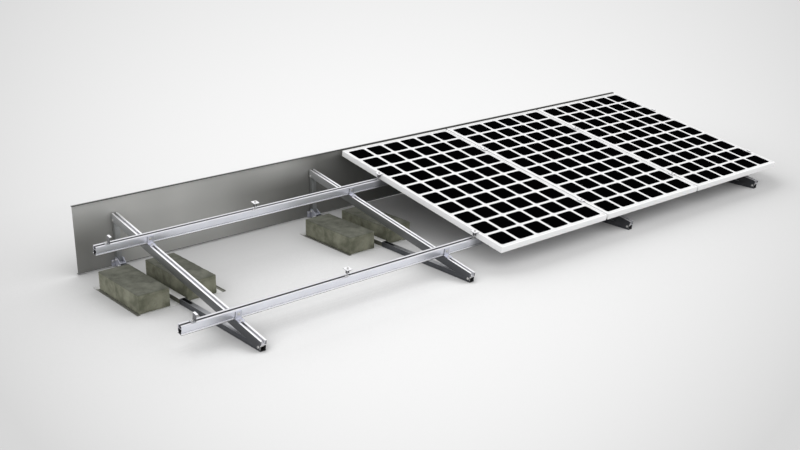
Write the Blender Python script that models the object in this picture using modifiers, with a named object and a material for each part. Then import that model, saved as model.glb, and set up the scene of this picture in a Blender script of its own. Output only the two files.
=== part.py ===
"""Ballasted flat-roof solar mount: one row of five module places, three of them filled.

Four support triangles stand on the roof. Each is a sloping top rail, a base rail and a rear post,
held down by two concrete blocks on a tray. Two purlins run across the triangles, and the modules
are clamped to the purlins. A folded sheet closes the back of the row against the wind.

Units are metres, +Z is up, +X runs along the row and +Y points up the slope. The origin is at the
middle of the mount's footprint, on the roof.
"""

import math

import bmesh
import bpy
from mathutils import Matrix, Vector

# General values
SEAT = 0.0003            # gap between faces that touch
OVERRUN = 0.002          # how far a cutter runs past what it cuts
SINK = 0.001             # how far joined shapes run into each other
WELD_DISTANCE = 0.00001
BOLT_SIDES = 8
HEX_SIDES = 6
BEND_STEPS = 2

# Row layout
TILT = math.radians(10.0)
SLOT_COUNT = 5
MODULE_COUNT = 3
TRIANGLE_COUNT = 4
TRIANGLE_END_INSET = 0.2545

# Module
MODULE_WIDTH = 0.992
MODULE_LENGTH = 1.640
MODULE_DEPTH = 0.040
MODULE_GAP = 0.018
FRAME_WALL = 0.0018
FRAME_LIP = 0.0075
FRAME_LIP_THICKNESS = 0.0016
FRAME_LEDGE = 0.011
FRAME_FLANGE = 0.026
FRAME_FLANGE_THICKNESS = 0.002
LAMINATE_THICKNESS = 0.0046
CELL_COLUMNS = 6
CELL_ROWS = 10
CELL_SIDE_MARGIN = 0.0155
CELL_END_MARGIN = 0.0195
CELL_SHARE = 0.812
CELL_RELIEF = 0.0004
BOX_LENGTH = 0.115
BOX_WIDTH = 0.095
BOX_HEIGHT = 0.021
BOX_EDGE = 0.004
BOX_INSET = 0.085

# Purlins
PURLIN_WIDTH = 0.040
PURLIN_HEIGHT = 0.055
PURLIN_OVERHANG = 0.088
PURLIN_FRONT_INSET = 0.240
PURLIN_REAR_INSET = 0.431
PURLIN_WALL = 0.0024
PURLIN_LIP_THICKNESS = 0.0026
PURLIN_SLOT_OPENING = 0.0125
PURLIN_SLOT_WIDTH = 0.024
PURLIN_SLOT_DEPTH = 0.017
PURLIN_CHAMBER_ROOF = 0.0034
PURLIN_GROOVE_DEPTH = 0.0042
PURLIN_GROOVE_HEIGHT = 0.0065
PURLIN_GROOVE_RISE = 0.009

# Top rails
RAIL_WIDTH = 0.040
RAIL_HEIGHT = 0.052
RAIL_WALL = 0.0020
RAIL_LIP_THICKNESS = 0.0025
RAIL_SLOT_OPENING = 0.0150
RAIL_SLOT_WIDTH = 0.0240
RAIL_SLOT_WALL = 0.0018
RAIL_CHAMBER_ROOF = 0.0032
RAIL_CHAMBER_FLOOR = 0.0006
RAIL_WEB_DEPTH = 0.0270
RAIL_WEB = 0.0025
RAIL_FRONT_REACH = 0.0277
RAIL_REAR_REACH = 0.0023
PIVOT_INSET = 0.0140
PIVOT_BELOW_TOP = 0.0420
PIVOT_HEIGHT = 0.0240

# Base rails and rear posts
STRUT_CLEARANCE = 0.0005
STRUT_WALL = 0.0020
BASE_HEIGHT = 0.033
POST_DEPTH = 0.028
BASE_NOSE = 0.0125
BASE_SLOT_WIDTH = 0.020
BASE_SLOT_REACH = 0.105

# Foot brackets
FOOT_SHEET = 0.003
FOOT_BOTTOM = 0.006
FOOT_REACH = 0.043
FOOT_RISE = 0.032
FOOT_EAR = 0.024
FOOT_EAR_TOP = 0.048
FOOT_EAR_BOLT_DROP = 0.012
FOOT_BOLT_REACH = 0.048
FOOT_BOLT_RISE = 0.016

# Ballast
TRAY_REAR_GAP = 0.2495
TRAY_LENGTH = 0.555
TRAY_HALF_WIDTH = 0.290
TRAY_SHEET = 0.002
TRAY_LIP = 0.009
TRAY_BEND = 0.003
HAT_CLEARANCE = 0.002
BLOCK_LENGTH = 0.500
BLOCK_WIDTH = 0.200
BLOCK_HEIGHT = 0.115
BLOCK_EDGE = 0.006
BLOCK_FRONT_GAP = 0.0095
BLOCK_OUTER_GAP = 0.018
BLOCK_INNER_GAP = 0.015

# Wind deflector
DEFLECTOR_SHEET = 0.0015
DEFLECTOR_OVERHANG = 0.0095
DEFLECTOR_FLANGE = 0.018
DEFLECTOR_HEM = 0.009
DEFLECTOR_HEM_GAP = 0.0005
DEFLECTOR_CLEARANCE = 0.007
DEFLECTOR_BEND = 0.0025

# Bolts
BOLT_DIAMETER = 0.008
HEAD_ACROSS = 0.013
HEAD_HEIGHT = 0.0055
CAP_HEAD_DIAMETER = 0.013
CAP_HEAD_HEIGHT = 0.008
SOCKET_ACROSS = 0.006
SOCKET_DEPTH = 0.004
HOLE_CLEARANCE = 0.0006
NUT_WIDTH = 0.0205
NUT_LENGTH = 0.024
NUT_HEIGHT = 0.006
TAIL_LENGTH = 0.004

# Clamps
CLAMP_LENGTH = 0.040
CLAMP_OVERLAP = 0.0105
CLAMP_PLATE = 0.004
CLAMP_CROWN = 0.0012
CLAMP_RELIEF = 0.0004
CLAMP_LEG = 0.0028
CLAMP_LEG_DEPTH = 0.030
CLAMP_STEM = 0.016          # length of the middle clamp's legs, under the middle of its plate
CLAMP_SHOULDER = 0.0008     # how much of each leg runs on below the plate as a rib
CLAMP_SIDE_CLEARANCE = 0.0010
END_FOOT_LENGTH = 0.022

# Cross brackets
CROSS_WIDTH = 0.040
CROSS_SHEET = 0.004
CROSS_FOOT = 0.038
CROSS_LEG = 0.050
CROSS_BEND = 0.004
CROSS_BOLT_RISE = 0.032
CROSS_SLOT_LENGTH = 0.020
CROSS_BOLT_REACH = 0.022

# Places that follow from the sizes
MODULE_PITCH = MODULE_WIDTH + MODULE_GAP
ROW_LENGTH = SLOT_COUNT * MODULE_PITCH - MODULE_GAP
TRIANGLE_SPACING = (ROW_LENGTH - 2 * TRIANGLE_END_INSET) / (TRIANGLE_COUNT - 1)
RAIL_LENGTH = MODULE_LENGTH + RAIL_FRONT_REACH + RAIL_REAR_REACH
STRUT_WIDTH = RAIL_WIDTH - 2 * (RAIL_WALL + STRUT_CLEARANCE)

# Levels square to the slope, from the front pivot's axis
RAIL_TOP = PIVOT_BELOW_TOP
RAIL_BOTTOM = RAIL_TOP - RAIL_HEIGHT
PURLIN_BOTTOM = RAIL_TOP + SEAT
PURLIN_TOP = PURLIN_BOTTOM + PURLIN_HEIGHT
MODULE_BOTTOM = PURLIN_TOP + SEAT
MODULE_TOP = MODULE_BOTTOM + MODULE_DEPTH

# Places along the slope, from the front pivot's axis
RAIL_START = -PIVOT_INSET
RAIL_END = RAIL_START + RAIL_LENGTH
MODULE_START = RAIL_START + RAIL_FRONT_REACH
MODULE_END = MODULE_START + MODULE_LENGTH
FRONT_PURLIN_PLACE = MODULE_START + PURLIN_FRONT_INSET
REAR_PURLIN_PLACE = MODULE_END - PURLIN_REAR_INSET
REAR_PIVOT_PLACE = RAIL_END - PIVOT_INSET

# Places in the upright frame, from the front pivot's axis
POST_CENTRE = REAR_PIVOT_PLACE * math.cos(TILT)
POST_BACK = POST_CENTRE + POST_DEPTH / 2
REAR_PIVOT_HEIGHT = PIVOT_HEIGHT + REAR_PIVOT_PLACE * math.sin(TILT)
REAR_PLANE = RAIL_END * math.cos(TILT) - RAIL_BOTTOM * math.sin(TILT)
DEFLECTOR_FACE = REAR_PLANE + SEAT + DEFLECTOR_SHEET + DEFLECTOR_HEM_GAP
DEFLECTOR_BACK = DEFLECTOR_FACE + DEFLECTOR_FLANGE
DEFLECTOR_TOP = PIVOT_HEIGHT + MODULE_END * math.sin(TILT) + MODULE_TOP * math.cos(TILT)
FRONT_EDGE = RAIL_START * math.cos(TILT) - RAIL_TOP * math.sin(TILT)
PIVOT_Y = -(FRONT_EDGE + DEFLECTOR_BACK) / 2
TRAY_FRONT = POST_BACK - TRAY_REAR_GAP - TRAY_LENGTH
CELL_PITCH_X = (MODULE_WIDTH - 2 * CELL_SIDE_MARGIN) / CELL_COLUMNS
CELL_PITCH_Y = (MODULE_LENGTH - 2 * CELL_END_MARGIN) / CELL_ROWS
CELL_SIDE = min(CELL_PITCH_X, CELL_PITCH_Y) * CELL_SHARE


def clear_scene():
    """Remove whatever the file opened with."""
    for item in list(bpy.data.objects):
        bpy.data.objects.remove(item, do_unlink=True)


def make_collection(name):
    """A collection linked to the scene."""
    collection = bpy.data.collections.new(name)
    bpy.context.scene.collection.children.link(collection)
    return collection


def make_material(name, colour, roughness, metallic):
    """A Principled material with one colour."""
    material = bpy.data.materials.new(name)
    material.use_nodes = True
    shader = material.node_tree.nodes["Principled BSDF"]
    shader.inputs["Base Color"].default_value = (*colour, 1.0)
    shader.inputs["Roughness"].default_value = roughness
    shader.inputs["Metallic"].default_value = metallic
    material.diffuse_color = (*colour, 1.0)
    return material


def scratch_object(mesh):
    """An object that only lives while a piece is being made."""
    item = bpy.data.objects.new("scratch", mesh)
    bpy.context.scene.collection.objects.link(item)
    return item


def evaluated_mesh(item):
    """The mesh that the modifiers give, with the working object removed."""
    graph = bpy.context.evaluated_depsgraph_get()
    mesh = bpy.data.meshes.new_from_object(item.evaluated_get(graph))
    bpy.data.objects.remove(item, do_unlink=True)
    return mesh


def combined(base, others, operation):
    """One mesh from a base and others, joined or cut by Boolean modifiers."""
    body = scratch_object(base)
    helpers = [scratch_object(other) for other in others]
    for helper in helpers:
        step = body.modifiers.new(operation.lower(), "BOOLEAN")
        step.operation = operation
        step.solver = "EXACT"
        step.object = helper
    result = evaluated_mesh(body)
    for helper in helpers:
        bpy.data.objects.remove(helper, do_unlink=True)
    return result


def joined(base, others):
    """The base with the other shapes united to it."""
    return combined(base, others, "UNION")


def cut(base, cutters):
    """The base with the cutters taken out of it."""
    return combined(base, cutters, "DIFFERENCE")


def moved(mesh, matrix):
    """The same mesh after a turn or a shift."""
    mesh.transform(matrix)
    return mesh


def box(size, centre):
    """A box mesh from its three sizes and its middle."""
    build = bmesh.new()
    bmesh.ops.create_cube(build, size=1.0)
    bmesh.ops.scale(build, vec=Vector(size), verts=build.verts)
    bmesh.ops.translate(build, vec=Vector(centre), verts=build.verts)
    mesh = bpy.data.meshes.new("box")
    build.to_mesh(mesh)
    build.free()
    return mesh


def box_between(low, high):
    """A box mesh from its lowest and highest corners."""
    size = [b - a for a, b in zip(low, high)]
    centre = [(a + b) / 2 for a, b in zip(low, high)]
    return box(size, centre)


AXIS_TURNS = {
    "X": Matrix.Rotation(math.pi / 2, 4, "Y"),
    "Y": Matrix.Rotation(-math.pi / 2, 4, "X"),
    "Z": Matrix.Identity(4),
}


def rod(diameter, start, end, axis, place, sides=BOLT_SIDES):
    """A round or polygonal bar along an axis, from start to end, through the given place."""
    build = bmesh.new()
    bmesh.ops.create_cone(
        build, cap_ends=True, segments=sides,
        radius1=diameter / 2, radius2=diameter / 2, depth=end - start,
    )
    mesh = bpy.data.meshes.new("rod")
    build.to_mesh(mesh)
    build.free()
    mesh.transform(Matrix.Translation((0.0, 0.0, (start + end) / 2)))
    mesh.transform(AXIS_TURNS[axis])
    mesh.transform(Matrix.Translation(place))
    return mesh


def hexagon(across, start, end, axis, place):
    """A hexagonal bar, measured across its flats."""
    corner_diameter = across / math.cos(math.pi / HEX_SIDES)
    return rod(corner_diameter, start, end, axis, place, HEX_SIDES)


EXTRUDE_TURNS = {
    "X": Matrix(((0, 0, 1, 0), (1, 0, 0, 0), (0, 1, 0, 0), (0, 0, 0, 1))),
    "Y": Matrix(((1, 0, 0, 0), (0, 0, -1, 0), (0, 1, 0, 0), (0, 0, 0, 1))),
    "Z": Matrix.Identity(4),
}


def extruded(loops, start, end, axis):
    """A closed mesh from an outline and its holes, extruded along an axis from start to end.

    Along X the outline lies in Y and Z; along Y it lies in X and Z; along Z in X and Y.
    """
    curve = bpy.data.curves.new("outline", "CURVE")
    curve.dimensions = "2D"
    curve.fill_mode = "BOTH"
    curve.extrude = (end - start) / 2
    for loop in loops:
        spline = curve.splines.new("POLY")
        spline.points.add(len(loop) - 1)
        for point, (first, second) in zip(spline.points, loop):
            point.co = (first, second, 0.0, 1.0)
        spline.use_cyclic_u = True
    outline = bpy.data.objects.new("outline", curve)
    bpy.context.scene.collection.objects.link(outline)
    mesh = evaluated_mesh(outline)
    bpy.data.curves.remove(curve)
    build = bmesh.new()
    build.from_mesh(mesh)
    bmesh.ops.remove_doubles(build, verts=build.verts, dist=WELD_DISTANCE)
    bmesh.ops.recalc_face_normals(build, faces=build.faces)
    build.to_mesh(mesh)
    build.free()
    mesh.transform(EXTRUDE_TURNS[axis])
    middle = (start + end) / 2
    shift = {"X": (middle, 0, 0), "Y": (0, middle, 0), "Z": (0, 0, middle)}[axis]
    return moved(mesh, Matrix.Translation(shift))


def mirrored(half):
    """A closed outline from its right half, listed from bottom to top."""
    return half + [(-first, second) for first, second in reversed(half)]


def rounded(path, radius):
    """An open path whose inner corners are turned into arcs of the given radius."""
    result = [Vector(path[0])]
    for before, corner, after in zip(path, path[1:], path[2:]):
        corner = Vector(corner)
        towards_before = (Vector(before) - corner).normalized()
        towards_after = (Vector(after) - corner).normalized()
        half_angle = towards_before.angle(towards_after) / 2
        reach = radius / math.tan(half_angle)
        centre = corner + (towards_before + towards_after).normalized() * (radius / math.sin(half_angle))
        start = corner + towards_before * reach - centre
        end = corner + towards_after * reach - centre
        for step in range(BEND_STEPS + 1):
            share = step / BEND_STEPS
            spoke = start.lerp(end, share).normalized() * radius
            result.append(centre + spoke)
    result.append(Vector(path[-1]))
    return result


def sheet_outline(path, thickness):
    """The closed outline of a bent sheet whose middle line is the given open path."""
    points = [Vector(point) for point in path]
    left = []
    right = []
    for index, point in enumerate(points):
        before = points[max(index - 1, 0)]
        after = points[min(index + 1, len(points) - 1)]
        into = (point - before).normalized() if index else (after - point).normalized()
        out = (after - point).normalized() if index < len(points) - 1 else into
        across = Vector((-into.y, into.x))
        mitre = (across + Vector((-out.y, out.x))).normalized()
        offset = mitre * (thickness / 2 / mitre.dot(across))
        left.append(tuple(point + offset))
        right.append(tuple(point - offset))
    return left + right[::-1]


def top_rail_mesh():
    """The sloping rail with its two pivot bolts, at its place square to the slope."""
    side = RAIL_WIDTH / 2
    inner = side - RAIL_WALL
    web_top = RAIL_TOP - RAIL_WEB_DEPTH
    web_under = web_top - RAIL_WEB
    lip_under = RAIL_TOP - RAIL_LIP_THICKNESS
    slot = RAIL_SLOT_WIDTH / 2
    outline = mirrored([
        (inner, web_under),
        (inner, RAIL_BOTTOM),
        (side, RAIL_BOTTOM),
        (side, RAIL_TOP),
        (RAIL_SLOT_OPENING / 2, RAIL_TOP),
        (RAIL_SLOT_OPENING / 2, lip_under),
        (slot, lip_under),
        (slot, web_top),
    ])
    chamber_start = slot + RAIL_SLOT_WALL
    chamber_low = web_top + RAIL_CHAMBER_FLOOR
    chamber_high = RAIL_TOP - RAIL_CHAMBER_ROOF
    chamber = [
        (chamber_start, chamber_low),
        (inner, chamber_low),
        (inner, chamber_high),
        (chamber_start, chamber_high),
    ]
    other_chamber = [(-first, second) for first, second in reversed(chamber)]
    rail = extruded([outline, chamber, other_chamber], RAIL_START, RAIL_END, "Y")
    bolts = []
    for place in (0.0, REAR_PIVOT_PLACE):
        bolts.append(rod(BOLT_DIAMETER, -side - SINK, side + SINK, "X", (0.0, place, 0.0)))
        bolts.append(hexagon(HEAD_ACROSS, -side - HEAD_HEIGHT, -side + SINK, "X", (0.0, place, 0.0)))
        bolts.append(hexagon(HEAD_ACROSS, side - SINK, side + HEAD_HEIGHT, "X", (0.0, place, 0.0)))
        bolts.append(rod(BOLT_DIAMETER, side, side + HEAD_HEIGHT + TAIL_LENGTH, "X", (0.0, place, 0.0)))
    return joined(rail, bolts)


def strut_outline(depth):
    """The outer outline and the bore of a tube as wide as the top rail's channel takes."""
    half = STRUT_WIDTH / 2
    half_depth = depth / 2
    outer = mirrored([(half, -half_depth), (half, half_depth)])
    inner_half = half - STRUT_WALL
    inner_depth = half_depth - STRUT_WALL
    inner = mirrored([(inner_half, -inner_depth), (inner_half, inner_depth)])
    return [outer, inner]


def base_rail_mesh():
    """The rail on the roof, from its nose in the top rail to the back of the post."""
    middle = BASE_HEIGHT / 2
    rail = extruded(strut_outline(BASE_HEIGHT), -BASE_NOSE, POST_BACK, "Y")
    moved(rail, Matrix.Translation((0.0, 0.0, middle)))
    hole = BOLT_DIAMETER + 2 * HOLE_CLEARANCE
    across = STRUT_WIDTH / 2 + OVERRUN
    cutters = [rod(hole, -across, across, "X", (0.0, 0.0, PIVOT_HEIGHT))]
    for place, height in foot_bolt_places():
        if height < BASE_HEIGHT:
            cutters.append(rod(hole, -across, across, "X", (0.0, place, height)))
    cutters.append(box_between(
        (-BASE_SLOT_WIDTH / 2, TRAY_FRONT - BASE_SLOT_REACH, middle),
        (BASE_SLOT_WIDTH / 2, TRAY_FRONT + BASE_SLOT_REACH, BASE_HEIGHT + OVERRUN),
    ))
    return cut(rail, cutters)


def post_top_height():
    """How high the post reaches inside the top rail's channel."""
    web_under = RAIL_TOP - RAIL_WEB_DEPTH - RAIL_WEB
    room = (web_under - SEAT) / math.cos(TILT) - POST_DEPTH / 2 * math.tan(TILT)
    return REAR_PIVOT_HEIGHT + room


def rear_post_mesh():
    """The upright, from the top of the base rail into the top rail's channel."""
    start = BASE_HEIGHT + SEAT
    post = extruded(strut_outline(POST_DEPTH), start, post_top_height(), "Z")
    moved(post, Matrix.Translation((0.0, POST_CENTRE, 0.0)))
    hole = BOLT_DIAMETER + 2 * HOLE_CLEARANCE
    across = STRUT_WIDTH / 2 + OVERRUN
    cutters = [rod(hole, -across, across, "X", (0.0, POST_CENTRE, REAR_PIVOT_HEIGHT))]
    for place, height in foot_bolt_places():
        if height > BASE_HEIGHT:
            cutters.append(rod(hole, -across, across, "X", (0.0, place, height)))
    return cut(post, cutters)


def foot_bolt_places():
    """Where the foot bracket's two bolts cross the base rail and the post, as Y and Z."""
    return [
        (POST_BACK - FOOT_BOLT_REACH, BASE_HEIGHT / 2),
        (POST_CENTRE, BASE_HEIGHT + FOOT_BOLT_RISE),
    ]


def ear_bolt_places():
    """Where the foot bracket's ear bolts cross the wind deflector, as X and Z."""
    across = STRUT_WIDTH / 2 + SEAT + FOOT_SHEET + FOOT_EAR / 2
    height = FOOT_EAR_TOP - FOOT_EAR_BOLT_DROP
    return [(-across, height), (across, height)]


def ear_bolt(across, height):
    """A bolt from the ear's front through a spacer and the deflector, with its nut behind."""
    spot = (across, 0.0, height)
    ear_front = REAR_PLANE - FOOT_SHEET
    spacer_end = DEFLECTOR_FACE - SEAT
    nut_start = DEFLECTOR_FACE + DEFLECTOR_SHEET + SEAT
    nut_end = nut_start + HEAD_HEIGHT
    return [
        hexagon(HEAD_ACROSS, ear_front - HEAD_HEIGHT, ear_front + SINK, "Y", spot),
        rod(HEAD_ACROSS, REAR_PLANE - SINK, spacer_end, "Y", spot),
        rod(BOLT_DIAMETER, spacer_end - SINK, nut_start + SINK, "Y", spot),
        hexagon(HEAD_ACROSS, nut_start, nut_end, "Y", spot),
        rod(BOLT_DIAMETER, nut_end - SINK, nut_end + TAIL_LENGTH, "Y", spot),
    ]


def foot_bracket_mesh():
    """Folded bracket: a floor and two cheeks at the post's foot, with ears on the deflector."""
    inner = STRUT_WIDTH / 2 + SEAT
    outer = inner + FOOT_SHEET
    back = REAR_PLANE
    post_front = POST_BACK - POST_DEPTH
    front = post_front - FOOT_REACH
    top = BASE_HEIGHT + FOOT_RISE
    bridge_low = BASE_HEIGHT + SEAT
    bridge_back = post_front - SEAT
    cheek_outline = [
        (front, FOOT_BOTTOM),
        (back, FOOT_BOTTOM),
        (back, top),
        (post_front, top),
        (front, bridge_low + FOOT_SHEET),
    ]
    pieces = []
    for side in (-1, 1):
        low, high = sorted((side * inner, side * outer))
        pieces.append(extruded([cheek_outline], low, high, "X"))
        low, high = sorted((side * (inner + SINK), side * (outer + FOOT_EAR)))
        pieces.append(box_between((low, back - FOOT_SHEET, FOOT_BOTTOM), (high, back, FOOT_EAR_TOP)))
    pieces.append(box_between(
        (-inner - SINK, front, bridge_low), (inner + SINK, bridge_back, bridge_low + FOOT_SHEET)))
    for place, height in foot_bolt_places():
        spot = (0.0, place, height)
        pieces.append(rod(BOLT_DIAMETER, -outer - SINK, outer + SINK, "X", spot))
        pieces.append(hexagon(HEAD_ACROSS, -outer - HEAD_HEIGHT, -outer + SINK, "X", spot))
        pieces.append(hexagon(HEAD_ACROSS, outer - SINK, outer + HEAD_HEIGHT, "X", spot))
    for across, height in ear_bolt_places():
        pieces += ear_bolt(across, height)
    return joined(pieces[0], pieces[1:])


def ballast_tray_mesh():
    """A folded sheet with a raised hat over the base rail and low lips at its two ends."""
    half_sheet = TRAY_SHEET / 2
    hat_half = STRUT_WIDTH / 2 + HAT_CLEARANCE + half_sheet
    hat_top = BASE_HEIGHT + SEAT + half_sheet
    edge = TRAY_HALF_WIDTH - half_sheet
    path = [
        (-edge, TRAY_LIP),
        (-edge, half_sheet),
        (-hat_half, half_sheet),
        (-hat_half, hat_top),
        (hat_half, hat_top),
        (hat_half, half_sheet),
        (edge, half_sheet),
        (edge, TRAY_LIP),
    ]
    outline = sheet_outline(rounded(path, TRAY_BEND), TRAY_SHEET)
    return extruded([outline], TRAY_FRONT, TRAY_FRONT + TRAY_LENGTH, "Y")


def ballast_block_mesh():
    """A concrete block with broken edges, centred over its own foot."""
    mesh = box((BLOCK_WIDTH, BLOCK_LENGTH, BLOCK_HEIGHT), (0.0, 0.0, BLOCK_HEIGHT / 2))
    block = scratch_object(mesh)
    bevel = block.modifiers.new("edges", "BEVEL")
    bevel.width = BLOCK_EDGE
    bevel.segments = 1
    return evaluated_mesh(block)


def purlin_mesh():
    """A purlin centred on its own line, from its underside up."""
    side = PURLIN_WIDTH / 2
    inner = side - PURLIN_WALL
    slot = PURLIN_SLOT_WIDTH / 2
    opening = PURLIN_SLOT_OPENING / 2
    lip_under = PURLIN_HEIGHT - PURLIN_LIP_THICKNESS
    slot_floor = lip_under - PURLIN_SLOT_DEPTH
    groove_low = PURLIN_GROOVE_RISE
    groove_high = groove_low + PURLIN_GROOVE_HEIGHT
    groove = side - PURLIN_GROOVE_DEPTH
    outline = mirrored([
        (side, 0.0),
        (side, groove_low),
        (groove, groove_low),
        (groove, groove_high),
        (side, groove_high),
        (side, PURLIN_HEIGHT),
        (opening, PURLIN_HEIGHT),
        (opening, lip_under),
        (slot, lip_under),
        (slot, slot_floor),
    ])
    chamber_high = PURLIN_HEIGHT - PURLIN_CHAMBER_ROOF
    chamber = mirrored([
        (groove - PURLIN_WALL, PURLIN_WALL),
        (groove - PURLIN_WALL, groove_high + PURLIN_WALL),
        (inner, groove_high + PURLIN_WALL),
        (inner, chamber_high),
        (slot + PURLIN_WALL, chamber_high),
        (slot + PURLIN_WALL, slot_floor - PURLIN_WALL),
    ])
    reach = ROW_LENGTH / 2 + PURLIN_OVERHANG
    return extruded([outline, chamber], -reach, reach, "X")


def slot_nut(depth_under_lip):
    """The nut in the purlin's slot, with its top the given depth under the lip."""
    top = PURLIN_TOP - PURLIN_LIP_THICKNESS - depth_under_lip
    return box_between(
        (-NUT_LENGTH / 2, -NUT_WIDTH / 2, top - NUT_HEIGHT),
        (NUT_LENGTH / 2, NUT_WIDTH / 2, top),
    )


def capped_bolt(place_x, head_seat, nut):
    """A socket-head bolt from its seat down through the slot nut, joined to the nut."""
    spot = (place_x, 0.0, 0.0)
    nut_bottom = min(vertex.co.z for vertex in nut.vertices)
    shank = rod(BOLT_DIAMETER, nut_bottom - TAIL_LENGTH, head_seat + SINK, "Z", spot)
    head = rod(CAP_HEAD_DIAMETER, head_seat, head_seat + CAP_HEAD_HEIGHT, "Z", spot)
    bolt = joined(nut, [shank, head])
    top = head_seat + CAP_HEAD_HEIGHT
    socket = hexagon(SOCKET_ACROSS, top - SOCKET_DEPTH, top + OVERRUN, "Z", spot)
    return cut(bolt, [socket])


def mid_clamp_mesh():
    """Plate on a narrow stem of two legs between two modules, with its bolt."""
    plate_low = MODULE_TOP + SEAT
    plate_high = plate_low + CLAMP_PLATE
    half = MODULE_GAP / 2 + CLAMP_OVERLAP
    leg_outer = MODULE_GAP / 2 - CLAMP_SIDE_CLEARANCE
    leg_inner = leg_outer - CLAMP_LEG
    leg_low = plate_high - CLAMP_LEG_DEPTH
    outline = mirrored([
        (leg_inner, plate_low - CLAMP_CROWN),
        (leg_inner, leg_low),
        (leg_outer, leg_low),
        (leg_outer, plate_low + CLAMP_RELIEF),
        (half, plate_low),
        (half, plate_high),
    ])
    body = extruded([outline], -CLAMP_LENGTH / 2, CLAMP_LENGTH / 2, "Y")
    wide = leg_outer + OVERRUN
    past_end = CLAMP_LENGTH / 2 + OVERRUN
    shoulder = plate_low - CLAMP_CROWN - CLAMP_SHOULDER
    body = cut(body, [
        box_between((-wide, -past_end, leg_low - OVERRUN), (wide, -CLAMP_STEM / 2, shoulder)),
        box_between((-wide, CLAMP_STEM / 2, leg_low - OVERRUN), (wide, past_end, shoulder)),
    ])
    bolt = capped_bolt(0.0, plate_high - SINK, slot_nut(SEAT))
    return joined(body, [bolt])


def end_clamp_mesh():
    """Z-shaped clamp at the left end of the row, with its bolt, square to the slope."""
    plate_low = MODULE_TOP + SEAT
    plate_high = plate_low + CLAMP_PLATE
    web_right = -CLAMP_SIDE_CLEARANCE
    web_left = web_right - CLAMP_LEG
    foot_low = PURLIN_TOP + SEAT
    foot_high = foot_low + CLAMP_LEG
    foot_left = web_left - END_FOOT_LENGTH
    outline = [
        (foot_left, foot_low),
        (web_right, foot_low),
        (web_right, plate_low),
        (CLAMP_OVERLAP, plate_low),
        (CLAMP_OVERLAP, plate_high),
        (web_left, plate_high),
        (web_left, foot_high),
        (foot_left, foot_high),
    ]
    body = extruded([outline], -CLAMP_LENGTH / 2, CLAMP_LENGTH / 2, "Y")
    bolt_place = (foot_left + web_left) / 2
    nut = moved(slot_nut(SEAT), Matrix.Translation((bolt_place, 0.0, 0.0)))
    bolt = capped_bolt(bolt_place, foot_high - SINK, nut)
    return joined(body, [bolt])


def cross_bracket_mesh():
    """Angle bracket in front of a purlin, standing on a top rail, with its two bolts."""
    face = -PURLIN_WIDTH / 2 - SEAT
    low = RAIL_TOP + SEAT
    middle = CROSS_SHEET / 2
    path = [
        (face - CROSS_FOOT, low + middle),
        (face - middle, low + middle),
        (face - middle, low + CROSS_LEG),
    ]
    outline = sheet_outline(rounded(path, CROSS_BEND), CROSS_SHEET)
    half = CROSS_WIDTH / 2
    plate = extruded([outline], -half, half, "X")
    leg_front = face - CROSS_SHEET
    slot_half = BOLT_DIAMETER / 2 + HOLE_CLEARANCE
    slot_middle = low + CROSS_BOLT_RISE
    slot = box_between(
        (-slot_half, leg_front - OVERRUN, slot_middle - CROSS_SLOT_LENGTH / 2),
        (slot_half, face + OVERRUN, slot_middle + CROSS_SLOT_LENGTH / 2),
    )
    plate = cut(plate, [slot])
    leg_spot = (0.0, 0.0, slot_middle)
    foot_place = face - CROSS_SHEET - CROSS_BOLT_REACH
    foot_spot = (0.0, foot_place, 0.0)
    foot_top = low + CROSS_SHEET
    lip_under = RAIL_TOP - RAIL_LIP_THICKNESS
    bolts = [
        rod(BOLT_DIAMETER, leg_front - HEAD_HEIGHT, face, "Y", leg_spot),
        hexagon(HEAD_ACROSS, leg_front - HEAD_HEIGHT, leg_front + SINK, "Y", leg_spot),
        rod(BOLT_DIAMETER, lip_under - NUT_HEIGHT, foot_top + SINK, "Z", foot_spot),
        hexagon(HEAD_ACROSS, foot_top - SINK, foot_top + HEAD_HEIGHT, "Z", foot_spot),
        box_between(
            (-NUT_WIDTH / 2, foot_place - NUT_LENGTH / 2, lip_under - SEAT - NUT_HEIGHT),
            (NUT_WIDTH / 2, foot_place + NUT_LENGTH / 2, lip_under - SEAT),
        ),
    ]
    return joined(plate, bolts)


def module_frame_mesh():
    """The extruded frame: lip, glass groove, ledge and bottom flange round an open window."""
    half = (MODULE_WIDTH / 2, MODULE_LENGTH / 2)
    bottom = 0.0
    top = MODULE_DEPTH
    groove_top = top - FRAME_LIP_THICKNESS
    groove_bottom = groove_top - LAMINATE_THICKNESS - 2 * SEAT
    ledge_bottom = groove_bottom - FRAME_LIP_THICKNESS

    def window(inset, low, high):
        """A cutter that leaves a border of the given width between two levels."""
        reach_x = half[0] - inset
        reach_y = half[1] - inset
        return box_between((-reach_x, -reach_y, low), (reach_x, reach_y, high))

    cutters = [
        window(FRAME_LIP, groove_top - SINK, top + OVERRUN),
        window(FRAME_WALL, groove_bottom, groove_top),
        window(FRAME_LEDGE, ledge_bottom - SINK, groove_bottom + SINK),
        window(FRAME_WALL, bottom + FRAME_FLANGE_THICKNESS, ledge_bottom),
        window(FRAME_FLANGE, bottom - OVERRUN, bottom + FRAME_FLANGE_THICKNESS + SINK),
    ]
    blank = box_between((-half[0], -half[1], bottom), (half[0], half[1], top))
    return cut(blank, cutters)


def cell_outline(column, row):
    """One cell's outline, from its column and row."""
    middle_x = (column - (CELL_COLUMNS - 1) / 2) * CELL_PITCH_X
    middle_y = (row - (CELL_ROWS - 1) / 2) * CELL_PITCH_Y
    half = CELL_SIDE / 2
    corners = mirrored([(half, -half), (half, half)])
    return [(middle_x + first, middle_y + second) for first, second in corners]


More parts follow.
